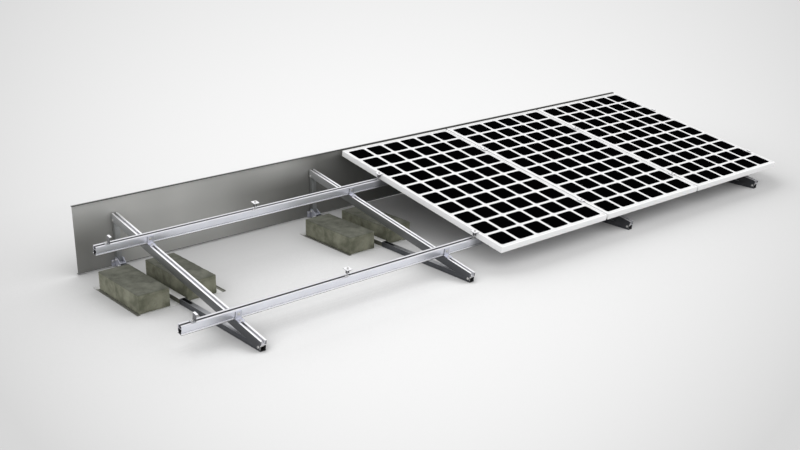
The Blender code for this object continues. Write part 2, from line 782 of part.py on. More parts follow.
def laminate_mesh():
    """Glass, cells and backsheet as one plate, with every cell as a shallow raised field."""
    reach_x = MODULE_WIDTH / 2 - FRAME_WALL - SEAT
    reach_y = MODULE_LENGTH / 2 - FRAME_WALL - SEAT
    top = MODULE_DEPTH - FRAME_LIP_THICKNESS - SEAT
    bottom = top - LAMINATE_THICKNESS
    plate = box_between((-reach_x, -reach_y, bottom), (reach_x, reach_y, top))
    places = [(column, row) for column in range(CELL_COLUMNS) for row in range(CELL_ROWS)]
    loops = [cell_outline(column, row) for column, row in places]
    cells = extruded(loops, top - SINK, top + CELL_RELIEF, "Z")
    return joined(plate, [cells])


def junction_box_mesh():
    """The box bonded behind the top end of a module."""
    laminate_bottom = MODULE_DEPTH - FRAME_LIP_THICKNESS - SEAT - LAMINATE_THICKNESS
    top = laminate_bottom - SEAT
    place = MODULE_LENGTH / 2 - FRAME_FLANGE - BOX_INSET
    mesh = box_between(
        (-BOX_LENGTH / 2, place - BOX_WIDTH / 2, top - BOX_HEIGHT),
        (BOX_LENGTH / 2, place + BOX_WIDTH / 2, top),
    )
    body = scratch_object(mesh)
    bevel = body.modifiers.new("edges", "BEVEL")
    bevel.width = BOX_EDGE
    bevel.segments = 1
    return evaluated_mesh(body)


def wind_deflector_mesh():
    """The folded sheet behind the row, with a flange and a closed hem along both edges."""
    middle = DEFLECTOR_FACE + DEFLECTOR_SHEET / 2
    hem = DEFLECTOR_FACE - DEFLECTOR_HEM_GAP - DEFLECTOR_SHEET
    top = DEFLECTOR_TOP - DEFLECTOR_SHEET / 2
    low = DEFLECTOR_CLEARANCE + DEFLECTOR_SHEET / 2
    path = rounded([
        (DEFLECTOR_BACK, low),
        (middle, low),
        (middle, top),
        (DEFLECTOR_BACK, top),
    ], DEFLECTOR_BEND)
    wall = extruded([sheet_outline(path, DEFLECTOR_SHEET)],
                    -ROW_LENGTH / 2 - DEFLECTOR_OVERHANG, ROW_LENGTH / 2 + DEFLECTOR_OVERHANG, "X")
    reach = ROW_LENGTH / 2 + DEFLECTOR_OVERHANG
    strips = []
    for start in (DEFLECTOR_CLEARANCE + DEFLECTOR_BEND, DEFLECTOR_TOP - DEFLECTOR_BEND - DEFLECTOR_HEM):
        strips.append(box_between((-reach, hem, start), (reach, middle, start + DEFLECTOR_HEM)))
    hole = BOLT_DIAMETER + 2 * HOLE_CLEARANCE
    hole_start = DEFLECTOR_FACE - OVERRUN
    hole_end = DEFLECTOR_FACE + DEFLECTOR_SHEET + OVERRUN
    cutters = []
    for x in triangle_places():
        for across, height in ear_bolt_places():
            cutters.append(rod(hole, hole_start, hole_end, "Y", (x + across, 0.0, height)))
    return cut(joined(wall, strips), cutters)


def place_piece(name, mesh, material, collection, parent, location, mirror=False):
    """One named object in the mount, set under its parent."""
    piece = bpy.data.objects.new(name, mesh)
    collection.objects.link(piece)
    piece.parent = parent
    piece.location = location
    if mirror:
        piece.rotation_euler = (0.0, 0.0, math.pi)
    if not mesh.materials:
        mesh.materials.append(material)
    return piece


def make_empty(name, collection, location, turn):
    """A guide that its children are placed from."""
    empty = bpy.data.objects.new(name, None)
    collection.objects.link(empty)
    empty.location = location
    empty.rotation_euler = (turn, 0.0, 0.0)
    return empty


def triangle_places():
    """The X of each support triangle, left to right."""
    first = -(TRIANGLE_COUNT - 1) * TRIANGLE_SPACING / 2
    return [first + index * TRIANGLE_SPACING for index in range(TRIANGLE_COUNT)]


def slot_centres():
    """The X of the middle of each module place, left to right."""
    first = -(SLOT_COUNT - 1) * MODULE_PITCH / 2
    return [first + index * MODULE_PITCH for index in range(SLOT_COUNT)]


def build_mount():
    """Make every piece and put it in its place."""
    mount = make_collection("solar_ballast_mount")
    metal = make_material("mill_aluminium", (0.78, 0.79, 0.83), 0.35, 1.0)
    lips = make_material("rail_aluminium", (0.62, 0.63, 0.66), 0.35, 1.0)
    struts = make_material("strut_aluminium", (0.45, 0.46, 0.48), 0.4, 1.0)
    sheet = make_material("coated_steel_sheet", (0.42, 0.43, 0.42), 0.5, 1.0)
    steel = make_material("clamp_aluminium", (0.80, 0.80, 0.82), 0.3, 1.0)
    concrete = make_material("cast_concrete", (0.34, 0.35, 0.29), 0.9, 0.0)
    frame_paint = make_material("frame_white", (0.86, 0.86, 0.86), 0.35, 0.0)
    glass = make_material("module_face", (0.05, 0.05, 0.06), 0.1, 0.0)
    plastic = make_material("box_plastic", (0.03, 0.03, 0.03), 0.5, 0.0)

    upright = make_empty("upright_frame", mount, (0.0, PIVOT_Y, 0.0), 0.0)
    slope = make_empty("slope_frame", mount, (0.0, PIVOT_Y, PIVOT_HEIGHT), TILT)

    top_rail = top_rail_mesh()
    base_rail = base_rail_mesh()
    rear_post = rear_post_mesh()
    foot_bracket = foot_bracket_mesh()
    tray = ballast_tray_mesh()
    block = ballast_block_mesh()
    cross_bracket = cross_bracket_mesh()
    hat_side = STRUT_WIDTH / 2 + HAT_CLEARANCE + TRAY_SHEET
    block_y = TRAY_FRONT + BLOCK_FRONT_GAP + BLOCK_LENGTH / 2
    left_block = -TRAY_HALF_WIDTH + BLOCK_OUTER_GAP + BLOCK_WIDTH / 2
    right_block = hat_side + BLOCK_INNER_GAP + BLOCK_WIDTH / 2
    for number, x in enumerate(triangle_places(), start=1):
        place_piece(f"top_rail_{number}", top_rail, lips, mount, slope, (x, 0.0, 0.0))
        place_piece(f"base_rail_{number}", base_rail, struts, mount, upright, (x, 0.0, 0.0))
        place_piece(f"rear_post_{number}", rear_post, struts, mount, upright, (x, 0.0, 0.0))
        place_piece(f"foot_bracket_{number}", foot_bracket, steel, mount, upright, (x, 0.0, 0.0))
        place_piece(f"ballast_tray_{number}", tray, sheet, mount, upright, (x, 0.0, 0.0))
        for side, offset in (("left", left_block), ("right", right_block)):
            place_piece(f"ballast_block_{number}_{side}", block, concrete, mount, upright,
                        (x + offset, block_y, TRAY_SHEET + SEAT))
        for row, place in (("front", FRONT_PURLIN_PLACE), ("rear", REAR_PURLIN_PLACE)):
            place_piece(f"cross_bracket_{row}_{number}", cross_bracket, steel, mount, slope,
                        (x, place, 0.0))

    purlin = purlin_mesh()
    mid_clamp = mid_clamp_mesh()
    end_clamp = end_clamp_mesh()
    centres = slot_centres()
    row_end = ROW_LENGTH / 2
    for row, place in (("front", FRONT_PURLIN_PLACE), ("rear", REAR_PURLIN_PLACE)):
        place_piece(f"{row}_purlin", purlin, metal, mount, slope, (0.0, place, PURLIN_BOTTOM))
        for number, x in enumerate(centres[:-1], start=1):
            place_piece(f"mid_clamp_{row}_{number}", mid_clamp, steel, mount, slope,
                        (x + MODULE_PITCH / 2, place, 0.0))
        place_piece(f"end_clamp_{row}_left", end_clamp, steel, mount, slope,
                    (-row_end, place, 0.0))
        place_piece(f"end_clamp_{row}_right", end_clamp, steel, mount, slope,
                    (row_end, place, 0.0), mirror=True)

    frame = module_frame_mesh()
    laminate = laminate_mesh()
    junction_box = junction_box_mesh()
    module_y = (MODULE_START + MODULE_END) / 2
    for number, x in enumerate(centres[-MODULE_COUNT:], start=1):
        spot = (x, module_y, MODULE_BOTTOM)
        place_piece(f"module_frame_{number}", frame, frame_paint, mount, slope, spot)
        place_piece(f"module_laminate_{number}", laminate, glass, mount, slope, spot)
        place_piece(f"junction_box_{number}", junction_box, plastic, mount, slope, spot)

    place_piece("wind_deflector", wind_deflector_mesh(), sheet, mount, upright, (0.0, 0.0, 0.0))


clear_scene()
build_mount()
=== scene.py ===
# %% [markdown]
# # A ballasted flat-roof solar mount
# The real object is a kit of extruded aluminium rails, folded sheet and concrete blocks. It holds
# solar modules at ten degrees on a flat roof without a single hole in the roof. This lesson dresses
# the measured model of it: every rail gets its true rounded section, every bolt its own head, and
# every surface a finish made of nodes. The measured model comes in first, because each piece here
# is placed from its numbers.

# %% Load the measured model
import math

import bmesh
import bpy
from mathutils import Matrix, Vector, noise
from mathutils.geometry import tessellate_polygon


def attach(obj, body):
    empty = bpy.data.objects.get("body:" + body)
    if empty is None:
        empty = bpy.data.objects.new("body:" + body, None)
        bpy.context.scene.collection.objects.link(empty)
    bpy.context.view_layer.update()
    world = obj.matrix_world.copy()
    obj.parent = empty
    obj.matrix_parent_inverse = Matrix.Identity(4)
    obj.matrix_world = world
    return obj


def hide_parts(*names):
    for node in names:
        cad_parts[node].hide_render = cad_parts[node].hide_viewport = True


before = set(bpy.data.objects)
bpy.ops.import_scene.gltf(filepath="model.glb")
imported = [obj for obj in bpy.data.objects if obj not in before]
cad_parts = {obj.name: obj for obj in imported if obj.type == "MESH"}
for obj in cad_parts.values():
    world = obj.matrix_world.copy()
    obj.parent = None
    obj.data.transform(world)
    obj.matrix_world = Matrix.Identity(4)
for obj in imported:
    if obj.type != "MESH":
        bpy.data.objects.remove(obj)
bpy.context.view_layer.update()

# %% [markdown]
# ## The row
# A row of such a mount has places for whole modules with a clamp's width between them, and support
# triangles at even steps. Five places are set up here and three are filled. Every place along the
# row is worked out from the module's own size, so nothing has to be measured twice.

# %% The row's layout
MM = 0.001
SEAT = 0.3 * MM

PLACES, MODULES, TRIANGLE_COUNT = 5, 3, 4
MODULE_WIDTH, MODULE_LENGTH, MODULE_DEPTH, MODULE_GAP = 0.992, 1.640, 40 * MM, 18 * MM
MODULE_PITCH = MODULE_WIDTH + MODULE_GAP
ROW_LENGTH = PLACES * MODULE_PITCH - MODULE_GAP
CENTRES = [(index - (PLACES - 1) / 2) * MODULE_PITCH for index in range(PLACES)]

TRIANGLE_INSET = 254.5 * MM
TRIANGLE_PITCH = (ROW_LENGTH - 2 * TRIANGLE_INSET) / (TRIANGLE_COUNT - 1)
TRIANGLES = [TRIANGLE_INSET - ROW_LENGTH / 2 + index * TRIANGLE_PITCH
             for index in range(TRIANGLE_COUNT)]
print("row is", round(ROW_LENGTH, 3), "m long; triangles at", [round(x, 3) for x in TRIANGLES])

# %% [markdown]
# ## Two working frames
# Half of the mount stands upright on the roof and half of it lies on the slope. Working in two
# local frames keeps every size plain: along the row is X, up the slope is Y, square to it is Z.
# The alternative is to turn every point by hand, which hides the real sizes of the rails. Both
# frames start at the front pivot, which lies so far forward that the footprint's middle is the origin.

# %% The slope and the two frames
TILT = math.radians(10.0)
PIVOT_HEIGHT, PIVOT_INSET = 24 * MM, 14 * MM
RAIL_SIDE, RAIL_LENGTH = 20 * MM, 1.670
RAIL_TOP, RAIL_BOTTOM = 42 * MM, -10 * MM
RAIL_START = -PIVOT_INSET
RAIL_END = RAIL_START + RAIL_LENGTH
REAR_PIVOT = RAIL_END - PIVOT_INSET
POST_CENTRE = REAR_PIVOT * math.cos(TILT)
REAR_PLANE = RAIL_END * math.cos(TILT) - RAIL_BOTTOM * math.sin(TILT)

PURLIN_SIDE, PURLIN_HEIGHT, PURLIN_OVERHANG = 20 * MM, 55 * MM, 88 * MM
PURLIN_HALF = ROW_LENGTH / 2 + PURLIN_OVERHANG
PURLIN_BOTTOM = RAIL_TOP + SEAT
PURLIN_TOP = PURLIN_BOTTOM + PURLIN_HEIGHT
MODULE_START = RAIL_START + 27.7 * MM
MODULE_END = MODULE_START + MODULE_LENGTH
MODULE_BOTTOM = PURLIN_TOP + SEAT
MODULE_TOP = MODULE_BOTTOM + MODULE_DEPTH
PURLIN_PLACES = {"front": MODULE_START + 240 * MM, "rear": MODULE_END - 431 * MM}

SHEET, SHEET_FLANGE, HEM_ROOM = 1.5 * MM, 18 * MM, 0.5 * MM
DEFLECTOR_FACE = REAR_PLANE + SEAT + SHEET + HEM_ROOM
DEFLECTOR_BACK = DEFLECTOR_FACE + SHEET_FLANGE
PIVOT_Y = -0.8158985

UPRIGHT = Matrix.Translation((0.0, PIVOT_Y, 0.0))
SLOPE = Matrix.Translation((0.0, PIVOT_Y, PIVOT_HEIGHT)) @ Matrix.Rotation(TILT, 4, "X")
print("front pivot at", round(PIVOT_Y, 4), "m; modules end", round(MODULE_END, 4), "m up the slope")

# %% [markdown]
# ## Node maths that reads like arithmetic
# A finish is mostly sums of noise and masks. Wiring each Math node by hand buries the idea, so one
# small class carries a socket and turns `1 - mask` into the node that does it. Colours go through
# Mix nodes, because a Math node would turn them grey.

# %% A wire between nodes


class Wire:
    """A value on its way between nodes. Arithmetic on it adds Math nodes."""

    def __init__(self, finish, socket):
        self.finish, self.socket = finish, socket

    def maths(self, operation, first, second=0.0):
        """One Math node on two values or wires."""
        return self.finish.node("ShaderNodeMath", {"operation": operation}, {0: first, 1: second})

    def __add__(self, other):
        return self.maths("ADD", self, other)

    def __sub__(self, other):
        return self.maths("SUBTRACT", self, other)

    def __mul__(self, other):
        return self.maths("MULTIPLY", self, other)

    def __truediv__(self, other):
        return self.maths("DIVIDE", self, other)

    def __gt__(self, other):
        return self.maths("GREATER_THAN", self, other)

    def __lt__(self, other):
        return self.maths("LESS_THAN", self, other)

    def __rsub__(self, other):
        return self.maths("SUBTRACT", other, self)

    def __rtruediv__(self, other):
        return self.maths("DIVIDE", other, self)

    def __abs__(self):
        return self.maths("ABSOLUTE", self)

    __radd__ = __add__
    __rmul__ = __mul__


print("wires add, subtract, multiply, divide and compare")

# %% [markdown]
# ## One builder for every finish
# All the finishes start from the same Principled shader. The builder below makes any node from its
# type, its settings and its socket values, and offers the few moves that metal, concrete and glass
# share: a noise stretched along a direction, a ramp between two tones, and a bump.

# %% The finish builder


class Finish:
    """A node-based material with a Principled shader at its end."""

    def __init__(self, name, **constants):
        self.material = bpy.data.materials.new(name)
        self.material.use_nodes = True
        self.tree = self.material.node_tree
        self.shader = self.tree.nodes["Principled BSDF"]
        for socket, value in constants.items():
            self.shader.inputs[socket.replace("_", " ")].default_value = value

    def node(self, kind, settings=None, values=None, output=0):
        """Any node, from its type, its settings, and the values or wires of its sockets."""
        made = self.tree.nodes.new(kind)
        for name, value in (settings or {}).items():
            setattr(made, name, value)
        for name, value in (values or {}).items():
            if isinstance(value, Wire):
                self.tree.links.new(value.socket, made.inputs[name])
            else:
                made.inputs[name].default_value = value
        return Wire(self, made.outputs[output])

    def place(self):
        """The point on the surface in the piece's own metres."""
        return self.node("ShaderNodeTexCoord", output="Object")

    def axis(self, which):
        """One coordinate of the point: 0 for X, 1 for Y, 2 for Z."""
        split = self.node("ShaderNodeSeparateXYZ", values={0: self.place()})
        return Wire(self, split.socket.node.outputs[which])

    def stretched(self, scale):
        """The same point with each axis scaled, which draws a noise out into streaks."""
        return self.node("ShaderNodeMapping", values={"Vector": self.place(), "Scale": scale})

    def cloud(self, scale, detail=3.0, roughness=0.55, stretch=(1.0, 1.0, 1.0)):
        """Soft noise from 0 to 1."""
        values = {"Vector": self.stretched(stretch), "Scale": scale, "Detail": detail,
                  "Roughness": roughness}
        return self.node("ShaderNodeTexNoise", values=values)

    def ramp(self, factor, low, high, start=0.0, end=1.0):
        """From start to end while the factor goes from low to high, and level beyond."""
        return self.node("ShaderNodeMapRange", {"clamp": True}, {
            "Value": factor, "From Min": low, "From Max": high, "To Min": start, "To Max": end})

    def tones(self, factor, first, second):
        """A colour between two tones."""
        return self.node("ShaderNodeMix", {"data_type": "RGBA"}, {
            0: factor, 6: (*first, 1.0), 7: (*second, 1.0)}, output=2)

    def over(self, factor, below, above):
        """A second colour laid over a colour that already varies."""
        if not isinstance(above, Wire):
            above = (*above, 1.0)
        return self.node("ShaderNodeMix", {"data_type": "RGBA"}, {0: factor, 6: below, 7: above},
                         output=2)

    def openness(self, distance):
        """How free the surface is of anything nearer than a distance, from 0 to 1."""
        return self.node("ShaderNodeAmbientOcclusion", {"samples": 16}, {"Distance": distance},
                         output="AO")

    def bump(self, height, strength, distance):
        """Small relief in the shading alone."""
        return self.node("ShaderNodeBump", values={
            "Height": height, "Strength": strength, "Distance": distance})

    def feed(self, **wires):
        """Join wires to the shader's own sockets."""
        for socket, wire in wires.items():
            self.tree.links.new(wire.socket, self.shader.inputs[socket.replace("_", " ")])


print("the finish builder is ready")

# %% [markdown]
# ## Extruded aluminium
# Rails are pushed through a steel die, so faint lines run along the bar and never across it. Noise
# squeezed along the bar gives those die lines in both roughness and bump. An image of scratches
# would repeat over five metres of purlin; noise doesn't.

# %% Extruded aluminium
LINES_ACROSS, LINES_ALONG = 900.0, 1.5


def extruded_aluminium(name, along, light, dark, metallic=0.85, roughness=0.38, zones=None):
    """Aluminium with die lines along an axis. Zones paint tones on some faces, painted shade and light.
    """
    finish = Finish(name, Metallic=metallic)
    squeeze = [LINES_ACROSS, LINES_ACROSS, LINES_ACROSS]
    squeeze["XYZ".index(along)] = LINES_ALONG
    lines = finish.cloud(1.0, 2.0, 0.6, tuple(squeeze))
    patches = finish.cloud(9.0, 3.0)
    colour = finish.tones(finish.ramp(patches * 0.6 + lines * 0.4, 0.35, 0.65), dark, light)
    if zones is not None:
        colour = zones(finish, colour)
    finish.feed(Base_Color=colour, Roughness=finish.ramp(lines, 0.3, 0.7, roughness - 0.07,
                                                         roughness + 0.09))
    finish.feed(Normal=finish.bump(lines, 0.12, 0.05 * MM))
    return finish.material


post_metal = extruded_aluminium("post_aluminium", "Z", (0.36, 0.37, 0.37), (0.29, 0.30, 0.30))
bracket_metal = extruded_aluminium("bracket_aluminium", "X", (0.46, 0.47, 0.53), (0.40, 0.41, 0.47),
                                   metallic=0.4)
print("plain finishes:", post_metal.name, bracket_metal.name)

# %% [markdown]
# ## Tones of a section
# One bar of aluminium never has one tone. Here its insides, its groove and the foot of its side are
# painted dark as shade, its top face is painted darker, and the strip below its groove is painted
# light as a highlight. A mask from the point's own place on the section picks each face out.
# Separate materials for each face would do too, but a mask can also fade along the bar, as the
# painted shade of the modules must.

# %% Purlin finish
PURLIN_LIP, PURLIN_SLOT_DEPTH, PURLIN_WALL = 2.6 * MM, 17 * MM, 2.4 * MM
GROOVE_LOW, GROOVE_HIGH, GROOVE_DEPTH = 9 * MM, 15.5 * MM, 4.2 * MM
HOLLOW_LOW_SIDE, HOLLOW_SIDE, HOLLOW_STEP = 13.4 * MM, 17.6 * MM, 17.9 * MM
END_SKIN = 0.2 * MM


def purlin_tones(finish, colour):
    """The purlin's tones: a painted highlight, a darker top face and painted shade, face by face."""
    along, aside, height = abs(finish.axis(0)), abs(finish.axis(1)), finish.axis(2)
    # A painted highlight: the strip below the groove is lighter.
    colour = finish.over(height < GROOVE_LOW, colour, (0.96, 0.96, 0.98))
    # A dark line painted as shade along the foot of the side.
    colour = finish.over(height < 2.6 * MM, colour, (0.10, 0.10, 0.11))
    # The top face is painted darker.
    top_face = PURLIN_HEIGHT - 0.4 * MM
    colour = finish.over(height > top_face, colour, (0.55, 0.55, 0.58))
    # Painted shade along the bar where the modules stand over it.
    painted_module_shade = finish.ramp(finish.axis(0), -0.56, -0.50, 0.0, 0.8)
    colour = finish.over(painted_module_shade, colour, (0.20, 0.20, 0.21))
    # Painted shade in the groove.
    groove_shade = (height > 11.6 * MM) * (height < GROOVE_HIGH - END_SKIN) * (aside < 19.4 * MM)
    colour = finish.over(groove_shade, colour, (0.06, 0.06, 0.065))
    # The insides are painted dark as shade.
    hollow_half = finish.ramp(height, HOLLOW_STEP - 0.3 * MM, HOLLOW_STEP - 0.1 * MM,
                              HOLLOW_LOW_SIDE + 0.1 * MM, HOLLOW_SIDE + 0.1 * MM)
    inside = (aside < hollow_half) * (height > PURLIN_WALL - END_SKIN) * (height < top_face)
    inside = inside * (along < PURLIN_HALF - END_SKIN)
    shade = finish.tones(height > 36 * MM, (0.12, 0.12, 0.13), (0.34, 0.34, 0.36))
    return finish.over(inside, colour, shade)


purlin_metal = extruded_aluminium("purlin_aluminium", "X", (0.81, 0.82, 0.88), (0.73, 0.74, 0.80),
                                  zones=purlin_tones)
print("purlin finish has", len(purlin_metal.node_tree.nodes), "nodes")

# %% [markdown]
# ## Rail finishes
# The top rail's sides are painted dark as shade in front and lighter up the slope as painted light,
# and its insides are painted dark as shade. The base rail is dull; the front of its top is painted
# lighter as painted light, and its hollow end is painted dark as shade. Both tones change slowly along
# the bar, so a ramp on the coordinate suits them better than noise.

# %% Top rail and base rail finishes
RAIL_WEB_DEPTH, RAIL_LIP, CHAMBER_ROOF = 27 * MM, 2.5 * MM, 3.2 * MM
BASE_HEIGHT, TUBE_HALF = 33 * MM, 17.5 * MM


def rail_tones(finish, colour):
    """The top rail: sides painted dark as shade in front and lighter up the slope; insides painted
    dark.
    """
    aside, up, height = abs(finish.axis(0)), finish.axis(1), finish.axis(2)
    # The outer sides: painted shade in front that lightens up the slope into painted light.
    outer = finish.ramp(aside, RAIL_SIDE - 0.35 * MM, RAIL_SIDE - 0.1 * MM)
    middle, rear = finish.ramp(up, 0.3, 0.75), finish.ramp(up, 1.2, 1.5)
    tone = finish.tones(middle, (0.088, 0.091, 0.098), (0.22, 0.225, 0.225))
    colour = finish.over(outer, colour, finish.over(rear, tone, (0.54, 0.55, 0.56)))
    # The insides are painted dark as shade.
    inside = (aside > 12.8 * MM) * (aside < RAIL_SIDE - MM)
    inside = inside * (height > RAIL_TOP - RAIL_WEB_DEPTH + 0.4 * MM)
    inside = inside * (height < RAIL_TOP - CHAMBER_ROOF + END_SKIN) * (up > RAIL_START + END_SKIN)
    return finish.over(inside * (up < RAIL_END - END_SKIN), colour, (0.02, 0.02, 0.022))


def base_light_and_shade(finish, colour):
    """The base rail: the front of its top painted lighter as light, its hollow end painted dark as
    shade.
    """
    aside, up, height = abs(finish.axis(0)), finish.axis(1), finish.axis(2)
    # The front of the top face is painted lighter: painted light.
    top_face = finish.ramp(height, BASE_HEIGHT - 0.5 * MM, BASE_HEIGHT - 0.1 * MM)
    top_light = top_face * finish.ramp(up, 0.8, 0.45)
    colour = finish.over(top_light, colour, (0.36, 0.365, 0.38))
    # The hollow front end is painted dark as shade.
    mouth = (aside < TUBE_HALF - MM) * (height > MM) * (height < BASE_HEIGHT - MM)
    return finish.over(mouth * finish.ramp(up, 0.08, 0.02), colour, (0.11, 0.11, 0.11))


rail_metal = extruded_aluminium("rail_aluminium", "Y", (0.80, 0.80, 0.82), (0.72, 0.72, 0.74),
                                zones=rail_tones)
base_metal = extruded_aluminium("base_rail_aluminium", "Y", (0.115, 0.12, 0.13), (0.075, 0.078, 0.085),
                                zones=base_light_and_shade)
print("rail finishes:", rail_metal.name, base_metal.name)

# %% [markdown]
# ## Small parts' finishes
# Clamps and angle brackets are slices of an extruded bar. A clamp's plate is bright on top, its legs
# and the face under its plate are painted darker as shade, and a bracket's cut ends are painted dark
# as shade. Height and width on the slice tell these faces apart.

# %% Clamp and angle bracket finishes
CROSS_HALF = 20 * MM


def clamp_leg_shade(finish, colour):
    """A clamp is bright on top of its plate; its legs and the plate's underside get painted shade."""
    height = finish.axis(2)
    # Painted shade below the plate, darker just under it.
    below_plate = height < MODULE_TOP + 2.4 * MM
    colour = finish.over(below_plate, colour, (0.42, 0.43, 0.45))
    return finish.over((height > 101 * MM) * below_plate, colour, (0.17, 0.17, 0.18))


def bracket_end_shade(finish, colour):
    """The ends of a bracket, painted dark as shade."""
    # The cut ends are painted dark as shade.
    outer = finish.ramp(abs(finish.axis(0)), CROSS_HALF - 0.5 * MM, CROSS_HALF - 0.1 * MM)
    return finish.over(outer, colour, (0.12, 0.12, 0.13))


clamp_metal = extruded_aluminium("clamp_aluminium", "Y", (0.80, 0.80, 0.82), (0.70, 0.70, 0.72),
                                 zones=clamp_leg_shade)
angle_metal = extruded_aluminium("angle_aluminium", "X", (0.66, 0.67, 0.74), (0.56, 0.57, 0.64),
                                 zones=bracket_end_shade)
print("aluminium finishes:", [m.name for m in bpy.data.materials if "aluminium" in m.name])

# %% [markdown]
# ## Folded sheet and bolts
# The wind sheet and the trays are coated steel: a dull, faintly cloudy grey that still mirrors a
# little. Zinc-plated bolts are warmer than aluminium. A dark line is painted as shade along each of
# the sheet's folds, and masks paint shade on it by the modules, at its left end and near the floor,
# and on the trays by the blocks. The light could do part of this, but a broad studio light leaves
# hardly any shade on a flat sheet.

# %% Sheet and bolt finishes
TOP_FOLD, LOW_FOLD = 443.0 * MM, 11.5 * MM


def coated_sheet(name, light, dark, roughness, metallic, zones=None):
    """Coated steel with soft clouds and a fine grain."""
    finish = Finish(name, Metallic=metallic, Specular_IOR_Level=0.1)
    clouds = finish.cloud(1.6, 2.0, 0.5, (1.0, 1.0, 0.35))
    grain = finish.cloud(700.0, 2.0, 0.7)
    colour = finish.tones(finish.ramp(clouds * 0.8 + grain * 0.2, 0.38, 0.62), dark, light)
    if zones is not None:
        colour = zones(finish, colour)
    finish.feed(Base_Color=colour,
                Roughness=finish.ramp(grain, 0.3, 0.7, roughness - 0.05, roughness + 0.06),
                Normal=finish.bump(grain, 0.08, 0.05 * MM))
    return finish.material


def sheet_shade(finish, colour):
    """The wind sheet: painted shade along its folds, by the modules, at its left end and near the
    floor.
    """
    across, height = finish.axis(0), finish.axis(2)
    front = finish.ramp(finish.axis(1), DEFLECTOR_FACE + MM, DEFLECTOR_FACE + 0.6 * MM)
    # Painted shade on the front face: by the modules, at the left end and near the floor.
    lower = finish.ramp(height, 0.40, 0.26)
    painted_module_shade = finish.ramp(across, -1.50, -0.95, 0.0, 0.80) * lower
    painted_module_shade = painted_module_shade + finish.ramp(across, -1.00, -0.70, 0.0, 0.92) * (1.0 - lower)
    corner = finish.ramp(across, -2.15, -2.45, 0.0, 0.70) * finish.ramp(height, 0.40, 0.20)
    foot = finish.ramp(height, 0.02, 0.20, 0.12, 0.0)
    colour = finish.over((painted_module_shade + corner + foot) * front, colour, (0.20, 0.20, 0.19))
    # A dark line painted as shade along the top fold and along the bottom fold.
    full = finish.ramp(across, -0.75, -0.45, 0.9, 1.0)
    high = finish.ramp(height, TOP_FOLD - 0.8 * MM, TOP_FOLD, 0.0, full)
    low = finish.ramp(height, LOW_FOLD + MM, LOW_FOLD)
    finish.feed(Metallic=finish.ramp(high * finish.ramp(across, -0.75, -0.45), 0.0, 1.0, 0.75, 0.0))
    return finish.over(high + low, colour, (0.016, 0.016, 0.015))


def tray_shade(finish, colour):
    """The tray's painted shade: on the hat's walls and on the strip by the lips, next to the blocks."""
    aside, height = abs(finish.axis(0)), finish.axis(2)
    # Painted shade on the hat's walls and on the strip by the lips.
    walls = finish.ramp(aside, 60.0 * MM, 50.0 * MM) * finish.ramp(height, 3.0 * MM, 5.0 * MM)
    walls = walls * finish.ramp(height, 33.6 * MM, 33.0 * MM)
    strip = finish.ramp(aside, 266.0 * MM, 270.0 * MM) * finish.ramp(finish.axis(1), 1.342, 1.336)
    colour = finish.over(walls, colour, (0.13, 0.13, 0.105))
    return finish.over(strip, colour, (0.18, 0.18, 0.155))


sheet_coat = coated_sheet("deflector_coat", (0.47, 0.47, 0.452), (0.38, 0.38, 0.367), 0.42, 0.75,
                          zones=sheet_shade)
tray_coat = coated_sheet("tray_coat", (0.70, 0.70, 0.69), (0.60, 0.60, 0.59), 0.45, 0.60,
                         zones=tray_shade)


def plated_steel():
    """Zinc-plated steel, a little cloudy where the plating is thicker."""
    finish = Finish("bolt_zinc", Metallic=1.0)
    clouds = finish.cloud(260.0, 3.0)
    finish.feed(Base_Color=finish.tones(clouds, (0.52, 0.52, 0.52), (0.68, 0.67, 0.65)),
                Roughness=finish.ramp(clouds, 0.3, 0.7, 0.25, 0.40))
    return finish.material


bolt_metal = plated_steel()
print("sheet and bolt finishes:", sheet_coat.name, tray_coat.name, bolt_metal.name)

# %% [markdown]
# ## Concrete and coats
# The blocks are wet-cast concrete with an olive tint: large soft patches, sand grain, a top painted
# darker as shade, and pores where air sat against the mould. Pores come from a Voronoi texture,
# because its cells have one centre each, as real bubbles do. A noise would give blots that run
# together. The module frames are sprayed white and the junction boxes are moulded, so both have a
# low, even grain.

# %% Concrete, white frame and box plastic
BLOCK = Vector((0.200, 0.500, 0.115))


def cast_concrete():
    """Olive-grey concrete with soft patches, a top painted darker as shade, sand grain and pores."""
    finish = Finish("cast_concrete", Metallic=0.0)
    patches = finish.cloud(15.0, 4.0, 0.6)
    stains = finish.cloud(7.0, 3.0, 0.6)
    sand = finish.cloud(420.0, 3.0, 0.7)
    bubbles = finish.node("ShaderNodeTexVoronoi", {"feature": "F1"}, {
        "Vector": finish.place(), "Scale": 75.0, "Randomness": 1.0})
    worn = finish.ramp(finish.cloud(40.0), 0.52, 0.60)
    pores = finish.ramp(bubbles, 0.10, 0.16, 1.0, 0.0) * worn
    mottle = finish.ramp(patches * 0.7 + stains * 0.3, 0.37, 0.63)
    colour = finish.tones(mottle, (0.076, 0.079, 0.051), (0.190, 0.192, 0.141))
    top_shade = finish.tones(mottle, (0.036, 0.038, 0.027), (0.100, 0.103, 0.081))
    # The top face is painted darker as shade.
    top = finish.ramp(finish.axis(2), BLOCK.z - 8 * MM, BLOCK.z - 2 * MM)
    colour = finish.over(top, colour, top_shade)
    colour = finish.over(finish.ramp(sand, 0.35, 0.75, 0.0, 0.25), colour, (0.19, 0.19, 0.152))
    colour = finish.over(pores * 0.75, colour, (0.035, 0.035, 0.025))
    height = sand * 0.4 + patches * 0.8 - pores * 1.5
    finish.feed(Base_Color=colour, Roughness=finish.ramp(sand, 0.2, 0.8, 0.82, 0.97),
                Normal=finish.bump(height, 0.7, 0.6 * MM))
    return finish.material


